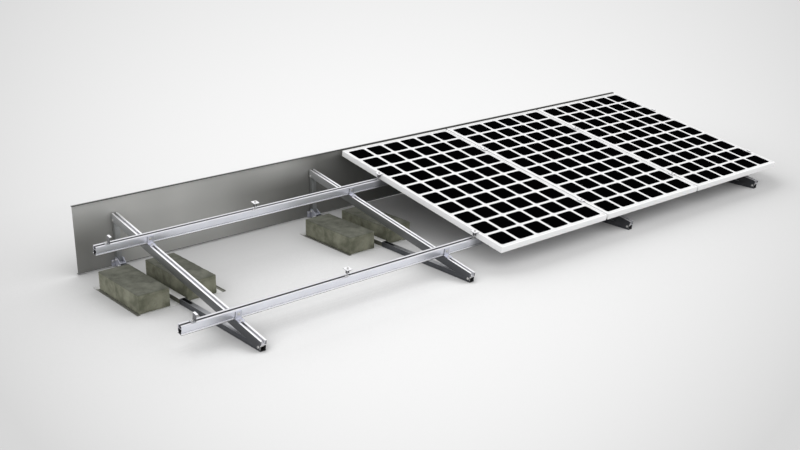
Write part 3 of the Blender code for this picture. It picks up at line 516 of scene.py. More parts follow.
def white_frame():
    """White-coated module frame with the faint waviness of a sprayed coat."""
    finish = Finish("frame_white", Metallic=0.0, Coat_Roughness=0.25)
    wave = finish.cloud(180.0, 2.0)
    finish.feed(Base_Color=finish.tones(finish.cloud(6.0), (0.735, 0.735, 0.74), (0.77, 0.77, 0.77)),
                Roughness=finish.ramp(wave, 0.3, 0.7, 0.34, 0.46),
                Normal=finish.bump(wave, 0.05, 0.1 * MM))
    return finish.material


def moulded_plastic():
    """Black plastic with a fine moulded grain."""
    finish = Finish("box_plastic", Metallic=0.0)
    grain = finish.cloud(900.0, 2.0)
    finish.feed(Base_Color=finish.tones(grain, (0.016, 0.016, 0.017), (0.032, 0.032, 0.033)),
                Roughness=finish.ramp(grain, 0.3, 0.7, 0.45, 0.62),
                Normal=finish.bump(grain, 0.3, 0.1 * MM))
    return finish.material


concrete = cast_concrete()
frame_coat = white_frame()
plastic = moulded_plastic()
print("more finishes:", concrete.name, frame_coat.name, plastic.name)

# %% [markdown]
# ## The module face
# A module is glass over dark cells on a white sheet. Under the glass each cell carries hair-fine
# silver lines, and the glass itself has a matt, anti-glare skin, so the sky hardly shows in it. The
# lines are a repeating ramp across the cell rather than geometry: thousands of thin strips would
# shimmer in a render and weigh down the file.

# %% Cell and backing finishes
GLASS_TOP = MODULE_DEPTH - 1.9 * MM
GLASS_LOW = GLASS_TOP - 4.6 * MM
LINES_PER_METRE = 500.0


def dark_cell():
    """Near-black silicon with very faint fine lines under matt glass."""
    finish = Finish("cell_dark", Metallic=0.0, Specular_IOR_Level=0.0)
    across = finish.axis(0) * LINES_PER_METRE
    line = finish.node("ShaderNodeMath", {"operation": "PINGPONG"}, {0: across, 1: 0.5})
    line = finish.ramp(line, 0.40, 0.47)
    grain = finish.cloud(120.0, 3.0)
    colour = finish.tones(grain, (0.0003, 0.0003, 0.0004), (0.0009, 0.0009, 0.0011))
    colour = finish.over(line * 0.25, colour, (0.004, 0.004, 0.0045))
    finish.feed(Base_Color=colour, Roughness=finish.ramp(grain, 0.3, 0.7, 0.30, 0.40))
    return finish.material


def white_backing():
    """The white sheet behind the cells, seen through the same glass, duller on its underside."""
    finish = Finish("backing_white", Metallic=0.0, Specular_IOR_Level=0.2)
    weave = finish.cloud(300.0, 2.0)
    colour = finish.tones(weave, (0.64, 0.64, 0.645), (0.67, 0.67, 0.67))
    under = finish.ramp(finish.axis(2), GLASS_LOW + 1.1 * MM, GLASS_LOW + 0.5 * MM)
    finish.feed(Base_Color=finish.over(under, colour, (0.62, 0.62, 0.625)),
                Roughness=finish.ramp(weave, 0.3, 0.7, 0.35, 0.45))
    return finish.material


cell_face = dark_cell()
backing = white_backing()
print("module finishes:", cell_face.name, backing.name)

# %% [markdown]
# ## Shapes as points and faces
# A rail is a section pushed along a line. The section is a closed loop of corners, and a real die
# rounds each of them by about half a millimetre, which is what catches the light. Every shape below
# is a plain pair, its points and its faces, so shapes can be moved, mixed and given a finish before
# they become one Blender mesh.

# %% Sections and bars


def rounded_loop(loop, radius, steps=3):
    """A closed loop with each corner turned into a small curve."""
    result = []
    for index, corner in enumerate(loop):
        corner = Vector(corner)
        back = Vector(loop[index - 1]) - corner
        ahead = Vector(loop[(index + 1) % len(loop)]) - corner
        reach = min(radius, back.length * 0.45, ahead.length * 0.45)
        start, end = corner + back.normalized() * reach, corner + ahead.normalized() * reach
        for step in range(steps + 1):
            share = step / steps
            result.append(start * (1 - share) ** 2 + corner * 2 * share * (1 - share)
                          + end * share ** 2)
    return result


TURNS = {"X": lambda first, second, level: (level, first, second),
         "Y": lambda first, second, level: (first, level, second),
         "Z": lambda first, second, level: (first, second, level)}


def bar(loops, start, end, axis, radius=0.5 * MM, slant=None):
    """A bar with an outline and its hollows as section, from start to end along an axis.

    A slant shifts each end by a share of the first coordinate, which cuts a mitre.
    """
    loops = [rounded_loop(loop, radius) if radius else [Vector(p) for p in loop] for loop in loops]
    turn = TURNS[axis]
    points, faces = [], []
    for level, sign in ((start, 1), (end, -1)):
        for loop in loops:
            for point in loop:
                shift = sign * slant * point.x if slant else 0.0
                points.append(turn(point.x, point.y, level + shift))
    size = len(points) // 2
    first = 0
    for loop in loops:
        for index in range(len(loop)):
            here, there = first + index, first + (index + 1) % len(loop)
            faces.append((here, there, size + there, size + here))
        first += len(loop)
    caps = tessellate_polygon([[Vector((p.x, p.y, 0.0)) for p in loop] for loop in loops])
    faces += [tuple(cap) for cap in caps] + [tuple(size + i for i in reversed(cap)) for cap in caps]
    return points, faces


def both_sides(half):
    """A closed loop from its right half, listed from bottom to top."""
    return half + [(-first, second) for first, second in reversed(half)]


def bent_sheet(path, thickness, bend, steps=6):
    """The closed section of a sheet that follows a middle line, with an arc at each bend."""
    line = [Vector(path[0])]
    for before, corner, after in zip(path, path[1:], path[2:]):
        corner = Vector(corner)
        back, ahead = (Vector(before) - corner).normalized(), (Vector(after) - corner).normalized()
        half = back.angle(ahead) / 2
        centre = corner + (back + ahead).normalized() * (bend / math.sin(half))
        first = corner + back * (bend / math.tan(half)) - centre
        last = corner + ahead * (bend / math.tan(half)) - centre
        for step in range(steps + 1):
            line.append(centre + first.lerp(last, step / steps).normalized() * bend)
    line.append(Vector(path[-1]))
    left, right = [], []
    for index, point in enumerate(line):
        along = line[min(index + 1, len(line) - 1)] - line[max(index - 1, 0)]
        across = Vector((-along.y, along.x)).normalized() * (thickness / 2)
        left.append(point + across)
        right.append(point - across)
    return left + right[::-1]


print("a rounded square has", len(rounded_loop([(0, 0), (1, 0), (1, 1), (0, 1)], 0.1)), "points")

# %% [markdown]
# ## Boxes, turned parts and pieces
# What isn't a bar is mostly a box with soft edges or a part from the lathe. Both give the same pair
# of points and faces, and a piece gathers them into one mesh, each with its own finish. Joining whole
# Blender objects would work too, but then every washer would be an object for a moment.

# %% Boxes and turned parts


def shape_of(build):
    """The points and faces of a finished working mesh, which is then given up."""
    points = [vertex.co.copy() for vertex in build.verts]
    faces = [[vertex.index for vertex in face.verts] for face in build.faces]
    build.free()
    return points, faces


def soft_box(low, high, edge=0.6 * MM, steps=2):
    """A box between two corners with its edges rounded."""
    low, high = Vector(low), Vector(high)
    build = bmesh.new()
    bmesh.ops.create_cube(build, size=1.0)
    bmesh.ops.scale(build, vec=high - low, verts=build.verts)
    bmesh.ops.translate(build, vec=(high + low) / 2, verts=build.verts)
    bmesh.ops.bevel(build, geom=build.edges[:], offset=edge, segments=steps, profile=0.5,
                    affect="EDGES")
    return shape_of(build)


def turned(rings, sides=36):
    """A part turned round Z from rings of (radius, height) or (radius, height, across flats)."""
    points, faces = [], []
    for ring in rings:
        radius, height, across = (*ring, None)[:3]
        for step in range(sides):
            angle = math.tau * step / sides
            reach = radius
            if across:
                off = (angle + math.pi / 6) % (math.pi / 3) - math.pi / 6
                reach = min(radius, across / 2 / math.cos(off))
            points.append((reach * math.cos(angle), reach * math.sin(angle), height))
    for row in range(len(rings) - 1):
        for step in range(sides):
            after = (step + 1) % sides
            here, there = row * sides, (row + 1) * sides
            faces.append((here + step, here + after, there + after, there + step))
    last = (len(rings) - 1) * sides
    faces += [tuple(range(sides))[::-1], tuple(range(last, last + sides))]
    return points, faces


print("a turned peg has", len(turned([(1, 0), (1, 2)], 12)[1]), "faces")

# %% [markdown]
# ## From shapes to pieces
# A piece keeps its shapes and their finishes until it is asked for a mesh. Faces that meet gently
# are shaded smooth and the others stay sharp. A finished mesh then stands in for a measured node, at
# a place in one of the two working frames.

# %% The piece that gathers shapes


class Piece:
    """Shapes, each with its finish, gathered into one mesh."""

    def __init__(self):
        self.points, self.faces, self.slots, self.finishes = [], [], [], []

    def add(self, shape, finish, matrix=None):
        """Put one more shape in the piece, moved by a matrix if there is one."""
        points, faces = shape
        if finish not in self.finishes:
            self.finishes.append(finish)
        first = len(self.points)
        self.points += [matrix @ Vector(p) if matrix else Vector(p) for p in points]
        self.faces += [[first + i for i in face] for face in faces]
        self.slots += [self.finishes.index(finish)] * len(faces)
        return self

    def mesh(self, name, angle=32.0):
        """The finished mesh, smooth except where faces meet at more than the angle."""
        mesh = bpy.data.meshes.new(name)
        mesh.from_pydata(self.points, [], self.faces)
        for finish in self.finishes:
            mesh.materials.append(finish)
        mesh.polygons.foreach_set("material_index", self.slots)
        build = bmesh.new()
        build.from_mesh(mesh)
        bmesh.ops.recalc_face_normals(build, faces=build.faces)
        build.to_mesh(mesh)
        build.free()
        mesh.shade_smooth()
        mesh.set_sharp_from_angle(angle=math.radians(angle))
        print(name, "has", sum(len(face.vertices) - 2 for face in mesh.polygons), "triangles")
        return mesh


def stand_for(node, mesh, matrix):
    """Put a dressed piece where a measured node is, and hide the node."""
    item = bpy.data.objects.new(f"{node}.dressed", mesh)
    item.matrix_world = matrix
    bpy.context.scene.collection.objects.link(item)
    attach(item, "root")
    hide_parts(node)
    return item


def at(frame_matrix, x=0.0, y=0.0, z=0.0):
    """A place in one of the two working frames."""
    return frame_matrix @ Matrix.Translation((x, y, z))


print("ready to build pieces")

# %% [markdown]
# ## Bolts
# A flange bolt is turned, then six flats are pressed on, so its head is a hexagon inside a cone.
# `turned` does the same: each ring can be limited by flats. A hexagonal prism with a bevel would be
# quicker, but it lacks the round chamfer that tells a bolt from a peg.

# %% Flange bolts, nuts and socket screws
BOLT_RADIUS, THREAD_PITCH, THREAD_DEPTH = 4.0, 1.25, 0.6
FLATS, KEY_FLATS = 13.0, 6.0
HEAD_RINGS = [(7.6, 0.0), (8.3, 0.3), (8.3, 0.9), (7.7, 1.5), (7.6, 1.6, FLATS), (7.6, 4.7, FLATS),
              (6.3, 5.5, FLATS)]
NUT_RINGS = HEAD_RINGS[:-1] + [(6.0, 5.5, FLATS)]
SCREW_RINGS = [(5.9, 0.0), (6.5, 0.4), (6.5, 7.2), (6.2, 7.8), (5.8, 8.0), (3.7, 8.0),
               (3.4, 7.7, KEY_FLATS), (3.4, 4.2, KEY_FLATS), (0.4, 3.6)]


def in_millimetres(rings):
    """The same rings in metres."""
    return [tuple(value * MM for value in ring) for ring in rings]


def threaded(start, end):
    """Rings of a screw's thread, in millimetres, from start to end."""
    root, height = BOLT_RADIUS - THREAD_DEPTH, start
    rings = [(root, start)]
    while height + THREAD_PITCH < end:
        rings += [(root, height + 0.1), (BOLT_RADIUS, height + THREAD_PITCH / 2),
                  (root, height + THREAD_PITCH)]
        height += THREAD_PITCH
    return rings + [(root - 0.3, end)]


def shank(start, end):
    """The plain part of a bolt, along Z."""
    return turned([(BOLT_RADIUS * MM, start), (BOLT_RADIUS * MM, end)], 24)


flange_head = turned(in_millimetres(HEAD_RINGS))
flange_nut = turned(in_millimetres(NUT_RINGS + threaded(5.5, 9.5)))
socket_screw = turned(in_millimetres(SCREW_RINGS))
ALONG_X = Matrix.Rotation(math.pi / 2, 4, "Y")
AGAINST_X = Matrix.Rotation(-math.pi / 2, 4, "Y")
ALONG_Y = Matrix.Rotation(-math.pi / 2, 4, "X")
AGAINST_Y = Matrix.Rotation(math.pi / 2, 4, "X")


def cross_bolt(piece, half, y, z):
    """A bolt through a rail along X, with its head on the left and its nut on the right."""
    piece.add(flange_head, bolt_metal, Matrix.Translation((-half, y, z)) @ AGAINST_X)
    piece.add(flange_nut, bolt_metal, Matrix.Translation((half, y, z)) @ ALONG_X)
    piece.add(shank(-half, half), bolt_metal, Matrix.Translation((0.0, y, z)) @ ALONG_X)


print("flange head:", len(flange_head[0]), "points; socket screw:", len(socket_screw[0]))

# %% [markdown]
# ## Purlins
# Two purlins carry the modules. Their section has an open slot on top for sliding nuts, a closed
# chamber below for stiffness, and a groove along each side. It is drawn as half a section and
# mirrored, because an extruded section is symmetrical unless there is a reason.

# %% Front and rear purlin
slot, opening = 12 * MM, 6.7 * MM
lip_under = PURLIN_HEIGHT - PURLIN_LIP
slot_floor = lip_under - PURLIN_SLOT_DEPTH
groove = PURLIN_SIDE - GROOVE_DEPTH
hollow_top = PURLIN_HEIGHT - 3.4 * MM
purlin_outline = both_sides([
    (PURLIN_SIDE, 0.0), (PURLIN_SIDE, GROOVE_LOW), (groove, GROOVE_LOW), (groove, GROOVE_HIGH),
    (PURLIN_SIDE, GROOVE_HIGH), (PURLIN_SIDE, PURLIN_HEIGHT), (opening, PURLIN_HEIGHT),
    (opening, lip_under), (slot, lip_under), (slot, slot_floor)])
purlin_hollow = both_sides([
    (HOLLOW_LOW_SIDE, PURLIN_WALL), (HOLLOW_LOW_SIDE, HOLLOW_STEP), (HOLLOW_SIDE, HOLLOW_STEP),
    (HOLLOW_SIDE, hollow_top), (slot + PURLIN_WALL, hollow_top),
    (slot + PURLIN_WALL, slot_floor - PURLIN_WALL)])
purlin = Piece().add(bar([purlin_outline, purlin_hollow], -PURLIN_HALF, PURLIN_HALF, "X"),
                     purlin_metal)
purlin_mesh = purlin.mesh("purlin")
for row, place in PURLIN_PLACES.items():
    stand_for(f"{row}_purlin", purlin_mesh, at(SLOPE, y=place, z=PURLIN_BOTTOM))

# %% [markdown]
# ## Support triangles
# A top rail slopes from the roof to the back edge. Its two lips hold the brackets that carry the
# purlins, and its lower channel straddles both the base rail at the front and the post at the back,
# where one bolt each makes the pivot.

# %% Top rails
channel, slot, opening = RAIL_SIDE - 2 * MM, 12 * MM, 7.5 * MM
web_top = RAIL_TOP - RAIL_WEB_DEPTH
web_under = web_top - 2.5 * MM
lip_under = RAIL_TOP - RAIL_LIP
rail_outline = both_sides([
    (channel, web_under), (channel, RAIL_BOTTOM), (RAIL_SIDE, RAIL_BOTTOM), (RAIL_SIDE, RAIL_TOP),
    (opening, RAIL_TOP), (opening, lip_under), (slot, lip_under), (slot, web_top)])
chamber_in, chamber_out = slot + 1.1 * MM, RAIL_SIDE - 1.2 * MM
chamber_low, chamber_high = web_top + 0.6 * MM, RAIL_TOP - CHAMBER_ROOF
chamber = [(chamber_in, chamber_low), (chamber_out, chamber_low), (chamber_out, chamber_high),
           (chamber_in, chamber_high)]
other_chamber = [(-first, second) for first, second in reversed(chamber)]
top_rail = Piece().add(bar([rail_outline, chamber, other_chamber], RAIL_START, RAIL_END, "Y"),
                       rail_metal)
for place in (0.0, REAR_PIVOT):
    cross_bolt(top_rail, RAIL_SIDE, place, 0.0)
top_rail_mesh = top_rail.mesh("top_rail")
for number, x in enumerate(TRIANGLES, start=1):
    stand_for(f"top_rail_{number}", top_rail_mesh, at(SLOPE, x))

# %% [markdown]
# ## Middle clamps
# Between two module places stands a hat-shaped clamp: a crowned plate over the two frames and two
# short legs that keep them apart. One socket screw pulls it down on a nut in the purlin's slot. In
# the bare places the clamps stand at the same height, waiting for their modules.

# %% Middle clamp
CLAMP_PLATE, CLAMP_LEG, CLAMP_OVERLAP = 4 * MM, 2.8 * MM, 10.5 * MM
NUT_HALF_LENGTH, NUT_HALF_WIDTH, NUT_HEIGHT = 12 * MM, 10.25 * MM, 6 * MM


def clamp_screw(piece, x, seat):
    """A socket screw with its shank, and the sliding nut in the purlin's slot."""
    nut_top = PURLIN_TOP - PURLIN_LIP - SEAT
    nut_low = nut_top - NUT_HEIGHT
    tail = turned([(r * MM, h * MM + nut_low) for r, h in threaded(-4.0, 0.5)], 24)
    nut = soft_box((x - NUT_HALF_LENGTH, -NUT_HALF_WIDTH, nut_low),
                   (x + NUT_HALF_LENGTH, NUT_HALF_WIDTH, nut_top))
    piece.add(socket_screw, bolt_metal, Matrix.Translation((x, 0.0, seat)))
    piece.add(shank(seat + MM, nut_top), bolt_metal, Matrix.Translation((x, 0.0, 0.0)))
    piece.add(tail, bolt_metal, Matrix.Translation((x, 0.0, 0.0)))
    piece.add(nut, bolt_metal)


plate_low = MODULE_TOP + SEAT
plate_high = plate_low + CLAMP_PLATE
leg_outer = MODULE_GAP / 2 - MM
leg_inner = leg_outer - CLAMP_LEG
plate_edge = MODULE_GAP / 2 + CLAMP_OVERLAP
shoulder = plate_low - 2 * MM
plate_section = both_sides([
    (leg_inner, plate_low - 1.2 * MM), (leg_inner, shoulder), (leg_outer, shoulder),
    (leg_outer, plate_low + 0.4 * MM), (plate_edge, plate_low), (plate_edge, plate_high)])
mid_clamp = Piece().add(bar([plate_section], -20 * MM, 20 * MM, "Y", 0.4 * MM), clamp_metal)
for side in (-1, 1):
    near, far = sorted((side * leg_inner, side * leg_outer))
    mid_clamp.add(soft_box((near, -8 * MM, plate_high - 30 * MM), (far, 8 * MM, shoulder + 0.6 * MM),
                           0.5 * MM), clamp_metal)
clamp_screw(mid_clamp, 0.0, plate_high)
mid_clamp_mesh = mid_clamp.mesh("mid_clamp")

# %% [markdown]
# ## End clamps
# At the ends of the row a Z-shaped clamp holds one frame only: its upper lip lies on the frame and
# its foot on the purlin, with the screw through the foot. The Z is drawn as a section and pushed
# along the frame, as the real one is cut from a bar.

# %% End clamp
foot_low = PURLIN_TOP + SEAT
foot_high = foot_low + CLAMP_LEG
leg_face, leg_back, foot_end = -MM, -MM - CLAMP_LEG, -MM - CLAMP_LEG - 22 * MM
end_section = [(foot_end, foot_low), (leg_face, foot_low), (leg_face, plate_low),
               (CLAMP_OVERLAP, plate_low), (CLAMP_OVERLAP, plate_high), (leg_back, plate_high),
               (leg_back, foot_high), (foot_end, foot_high)]
end_clamp = Piece().add(bar([end_section], -17 * MM, 17 * MM, "Y", 0.8 * MM), clamp_metal)
clamp_screw(end_clamp, (leg_back + foot_end) / 2, foot_high)
end_clamp_mesh = end_clamp.mesh("end_clamp")

# %% Clamps in their places
for row, place in PURLIN_PLACES.items():
    for number, x in enumerate(CENTRES[:-1], start=1):
        spot = at(SLOPE, x + MODULE_PITCH / 2, place)
        stand_for(f"mid_clamp_{row}_{number}", mid_clamp_mesh, spot)
    left = at(SLOPE, -ROW_LENGTH / 2, place)
    right = at(SLOPE, ROW_LENGTH / 2, place) @ Matrix.Rotation(math.pi, 4, "Z")
    stand_for(f"end_clamp_{row}_left", end_clamp_mesh, left)
    stand_for(f"end_clamp_{row}_right", end_clamp_mesh, right)

# %% [markdown]
# ## Modules
# A module frame is four extruded bars with mitred corners. One bar is enough: its section is swept
# along the side, and each end is cut at forty-five degrees by shifting every point of the section
# as far as it lies inside the frame. The hair-thin mitre line that a real frame shows comes free.

# %% Mitred module frames
MITRE_GAP = 0.08 * MM
wall, flange, ledge, lip = 1.8 * MM, 26 * MM, 11 * MM, 7.5 * MM
flange_high, lip_low = 2 * MM, MODULE_DEPTH - 1.6 * MM
ledge_low, ledge_high = GLASS_LOW - 1.9 * MM, GLASS_LOW - SEAT
frame_section = [
    (0.0, 0.0), (flange, 0.0), (flange, flange_high), (wall, flange_high), (wall, ledge_low),
    (ledge, ledge_low), (ledge, ledge_high), (wall, ledge_high), (wall, lip_low), (lip, lip_low),
    (lip, MODULE_DEPTH), (0.0, MODULE_DEPTH)]
module_frame = Piece()
for quarter in range(4):
    along, across = ((MODULE_WIDTH, MODULE_LENGTH), (MODULE_LENGTH, MODULE_WIDTH))[quarter % 2]
    shape = bar([frame_section], MITRE_GAP - along / 2, along / 2 - MITRE_GAP, "X", slant=1.0)
    spot = Matrix.Rotation(math.pi / 2 * quarter, 4, "Z") @ Matrix.Translation((0.0, -across / 2, 0.0))
    module_frame.add(shape, frame_coat, spot)
module_frame_mesh = module_frame.mesh("module_frame")

# %% [markdown]
# ## Cells and laminate
# Sixty cells lie under the glass with a white gap between them. Each is a square with round corners,
# raised a hair above the sheet so that its edge stays crisp. Painting them by a shader pattern is
# possible, but then their corners would need maths that real geometry gives for nothing.

# %% Cells on their backing
COLUMNS, ROWS, CELL_SHARE, CELL_CORNER, CELL_RELIEF = 6, 10, 0.856, 17 * MM, 0.3 * MM
half_x, half_y = MODULE_WIDTH / 2 - 2.1 * MM, MODULE_LENGTH / 2 - 2.1 * MM
pitch_x, pitch_y = (MODULE_WIDTH - 31 * MM) / COLUMNS, (MODULE_LENGTH - 39 * MM) / ROWS
half = pitch_y * CELL_SHARE / 2
cell = bar([[(half, -half), (half, half), (-half, half), (-half, -half)]], GLASS_TOP - CELL_RELIEF,
           GLASS_TOP + CELL_RELIEF, "Z", CELL_CORNER)
laminate = Piece().add(soft_box((-half_x, -half_y, GLASS_LOW), (half_x, half_y, GLASS_TOP), 0.3 * MM),
                       backing)
for column in range(COLUMNS):
    for row in range(ROWS):
        spot = ((column - (COLUMNS - 1) / 2) * pitch_x, (row - (ROWS - 1) / 2) * pitch_y, 0.0)
        laminate.add(cell, cell_face, Matrix.Translation(spot))
laminate_mesh = laminate.mesh("module_laminate")

# %% [markdown]
# ## Junction box
# Behind the upper end of every module sits a flat black box where the cells' ribbons end. It is a
# tray with a lid, and four round clips hold the lid. It hides under the module, so two soft boxes
# and a turned clip are enough.

# %% Junction boxes and whole modules
BOX_HALF_X, BOX_HALF_Y, BOX_HEIGHT, LID_INSET = 57.5 * MM, 47.5 * MM, 17 * MM, 3.5 * MM
CLIP_RINGS = [(4.0, 0.0), (4.0, 0.4), (3.6, 0.7), (1.2, 0.7), (1.0, 0.2)]
box_top = GLASS_LOW - SEAT
box_y = MODULE_LENGTH / 2 - flange - 85 * MM
lid_x, lid_y, lid_low = BOX_HALF_X - LID_INSET, BOX_HALF_Y - LID_INSET, box_top - 21 * MM
junction_box = Piece()
junction_box.add(soft_box((-BOX_HALF_X, box_y - BOX_HALF_Y, box_top - BOX_HEIGHT),
                          (BOX_HALF_X, box_y + BOX_HALF_Y, box_top), 3 * MM, 3), plastic)
junction_box.add(soft_box((-lid_x, box_y - lid_y, lid_low), (lid_x, box_y + lid_y, lid_low + 5 * MM),
                          2 * MM, 3), plastic)
for x in (8 * MM - lid_x, lid_x - 8 * MM):
    for y in (box_y - lid_y + 8 * MM, box_y + lid_y - 8 * MM):
        upside_down = Matrix.Translation((x, y, lid_low + 0.4 * MM)) @ Matrix.Rotation(math.pi, 4, "X")
        junction_box.add(turned(in_millimetres(CLIP_RINGS), 24), plastic, upside_down)
junction_box_mesh = junction_box.mesh("junction_box")

module_y = MODULE_START + MODULE_LENGTH / 2
for number, x in enumerate(CENTRES[-MODULES:], start=1):
    spot = at(SLOPE, x, module_y, MODULE_BOTTOM)
    stand_for(f"module_frame_{number}", module_frame_mesh, spot)
    stand_for(f"module_laminate_{number}", laminate_mesh, spot)
    stand_for(f"junction_box_{number}", junction_box_mesh, spot)

# %% [markdown]
# ## Base rails and posts
# The rail on the roof and the post at the back are plain tubes with bolt holes. The holes are
# already cut in the measured model, so copying its mesh and breaking the edges with a bevel is
# better than cutting them again: the copy can't drift from the real hole places.

# %% Tubes with broken edges


def softened(node, frame_matrix, finish):
    """A copy of a measured node in its own working frame, with every sharp edge broken."""
    build = bmesh.new()
    build.from_mesh(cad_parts[node].data)
    bmesh.ops.transform(build, matrix=frame_matrix.inverted(), verts=build.verts)
    bmesh.ops.remove_doubles(build, verts=build.verts, dist=0.01 * MM)
    bmesh.ops.dissolve_limit(build, angle_limit=math.radians(1.0), verts=build.verts,
                             edges=build.edges)
    sharp = [edge for edge in build.edges
             if len(edge.link_faces) == 2 and edge.calc_face_angle() > math.radians(50.0)]
    bmesh.ops.bevel(build, geom=sharp, offset=0.4 * MM, segments=2, profile=0.5, affect="EDGES",
                    clamp_overlap=True)
    return Piece().add(shape_of(build), finish)


first_place = at(UPRIGHT, TRIANGLES[0])
base_rail_mesh = softened("base_rail_1", first_place, base_metal).mesh("base_rail")
post_mesh = softened("rear_post_1", first_place, post_metal).mesh("rear_post")
for number, x in enumerate(TRIANGLES, start=1):
    stand_for(f"base_rail_{number}", base_rail_mesh, at(UPRIGHT, x))
    stand_for(f"rear_post_{number}", post_mesh, at(UPRIGHT, x))

# %% [markdown]
# ## Brackets
# Folded brackets tie the parts together. Bent metal has a round outside corner about as wide as the
# sheet is thick, so each of them is drawn as a middle line that turns, not as two plates that meet.

# %% Foot bracket cheeks and ears
FOOT_SHEET, FOOT_LOW, EAR_HIGH, EAR_WIDTH = 3 * MM, 6 * MM, 48 * MM, 24 * MM
cheek_in = TUBE_HALF + SEAT
cheek_out = cheek_in + FOOT_SHEET
post_front, post_back = POST_CENTRE - 14 * MM, POST_CENTRE + 14 * MM
foot_front, cheek_back, cheek_top = post_front - 43 * MM, REAR_PLANE - 2 * MM, BASE_HEIGHT + 32 * MM
ear_middle = REAR_PLANE - FOOT_SHEET / 2
cheek = [(foot_front, FOOT_LOW), (cheek_back, FOOT_LOW), (cheek_back, cheek_top),
         (post_front, cheek_top), (foot_front, BASE_HEIGHT + SEAT + FOOT_SHEET)]

foot = Piece()
for side in (-1, 1):
    low, high = sorted((side * cheek_in, side * cheek_out))
    foot.add(bar([cheek], low, high, "X", 2 * MM), bracket_metal)
    cheek_middle = side * (cheek_in + FOOT_SHEET / 2)
    fold = [(cheek_middle, REAR_PLANE - 16 * MM), (cheek_middle, ear_middle),
            (side * (cheek_out + EAR_WIDTH), ear_middle)]
    foot.add(bar([bent_sheet(fold, FOOT_SHEET, FOOT_SHEET)], FOOT_LOW, EAR_HIGH, "Z", 0), bracket_metal)
    ear = Matrix.Translation((side * (cheek_out + EAR_WIDTH / 2), REAR_PLANE, EAR_HIGH - 12 * MM))
    foot.add(flange_head, bolt_metal, ear @ Matrix.Translation((0.0, -FOOT_SHEET, 0.0)) @ AGAINST_Y)
    spacer = turned([(6.5 * MM, -0.5 * MM), (6.5 * MM, DEFLECTOR_FACE - SEAT - REAR_PLANE)], 24)
    foot.add(spacer, bolt_metal, ear @ ALONG_Y)
    foot.add(shank(0.0, 5 * MM), bolt_metal, ear @ ALONG_Y)
    behind_sheet = DEFLECTOR_FACE + SHEET + SEAT - REAR_PLANE
    foot.add(flange_nut, bolt_metal, ear @ Matrix.Translation((0.0, behind_sheet, 0.0)) @ ALONG_Y)
print("foot bracket has", len(foot.faces), "faces before its bridge")

# %% Foot bracket bridge and bolts
bridge_low = BASE_HEIGHT + SEAT
foot.add(soft_box((-cheek_in - MM, foot_front + 2 * MM, bridge_low),
                  (cheek_in + MM, post_front - SEAT, bridge_low + FOOT_SHEET)), bracket_metal)
for y, z in ((post_back - 48 * MM, BASE_HEIGHT / 2), (POST_CENTRE, BASE_HEIGHT + 16 * MM)):
    cross_bolt(foot, cheek_out, y, z)
foot_mesh = foot.mesh("foot_bracket")
for number, x in enumerate(TRIANGLES, start=1):
    stand_for(f"foot_bracket_{number}", foot_mesh, at(UPRIGHT, x))

# %% [markdown]
# ## Cross brackets
# An angle bracket stands in front of each purlin wherever it crosses a top rail. Its foot is bolted
# to a nut in the rail's slot and its leg to the purlin. A washer spreads the load over the leg's long
# hole, which is what lets the row be set level on site.

# %% Angle brackets with their bolts
CROSS_SHEET, CROSS_FOOT, CROSS_LEG = 4 * MM, 38 * MM, 50 * MM
WASHER_RINGS = [(4.4, 0.0), (9.5, 0.0), (9.8, 0.3), (9.8, 1.2), (9.4, 1.5), (4.4, 1.5)]
HEX_RINGS = [(7.5, 0.0, FLATS), (7.5, 4.6, FLATS), (6.2, 5.5, FLATS)]
face, low = -PURLIN_SIDE - SEAT, RAIL_TOP + SEAT
sheet_y, sheet_z = face - CROSS_SHEET / 2, low + CROSS_SHEET / 2
angle_line = [(face - CROSS_FOOT, sheet_z), (sheet_y, sheet_z), (sheet_y, low + CROSS_LEG)]
cross = Piece().add(bar([bent_sheet(angle_line, CROSS_SHEET, CROSS_SHEET)], -CROSS_HALF, CROSS_HALF,
                        "X", 0), angle_metal)
leg_bolt = Matrix.Translation((0.0, face - CROSS_SHEET, low + 32 * MM)) @ AGAINST_Y
cross.add(turned(in_millimetres(WASHER_RINGS)), bolt_metal, leg_bolt)
cross.add(turned(in_millimetres(HEX_RINGS)), bolt_metal, leg_bolt)
foot_y, foot_top = face - 26 * MM, low + CROSS_SHEET
cross.add(flange_head, bolt_metal, Matrix.Translation((0.0, foot_y, foot_top)))
cross.add(shank(RAIL_TOP - 8.5 * MM, foot_top), bolt_metal, Matrix.Translation((0.0, foot_y, 0.0)))
nut_top = RAIL_TOP - RAIL_LIP - SEAT
cross.add(soft_box((-NUT_HALF_WIDTH, foot_y - NUT_HALF_LENGTH, nut_top - NUT_HEIGHT),
                   (NUT_HALF_WIDTH, foot_y + NUT_HALF_LENGTH, nut_top)), bolt_metal)
cross_mesh = cross.mesh("cross_bracket")
for row, place in PURLIN_PLACES.items():
    for number, x in enumerate(TRIANGLES, start=1):
        stand_for(f"cross_bracket_{row}_{number}", cross_mesh, at(SLOPE, x, place))

# %% [markdown]
# ## Trays
# Each triangle is held down by two concrete blocks on a folded tray. A hat in the tray's middle sits
# over the base rail, so the blocks' weight can't slide off it, and low lips stiffen both edges. The
# tray is one bent line with a thickness, as it is one strip of sheet in the press.

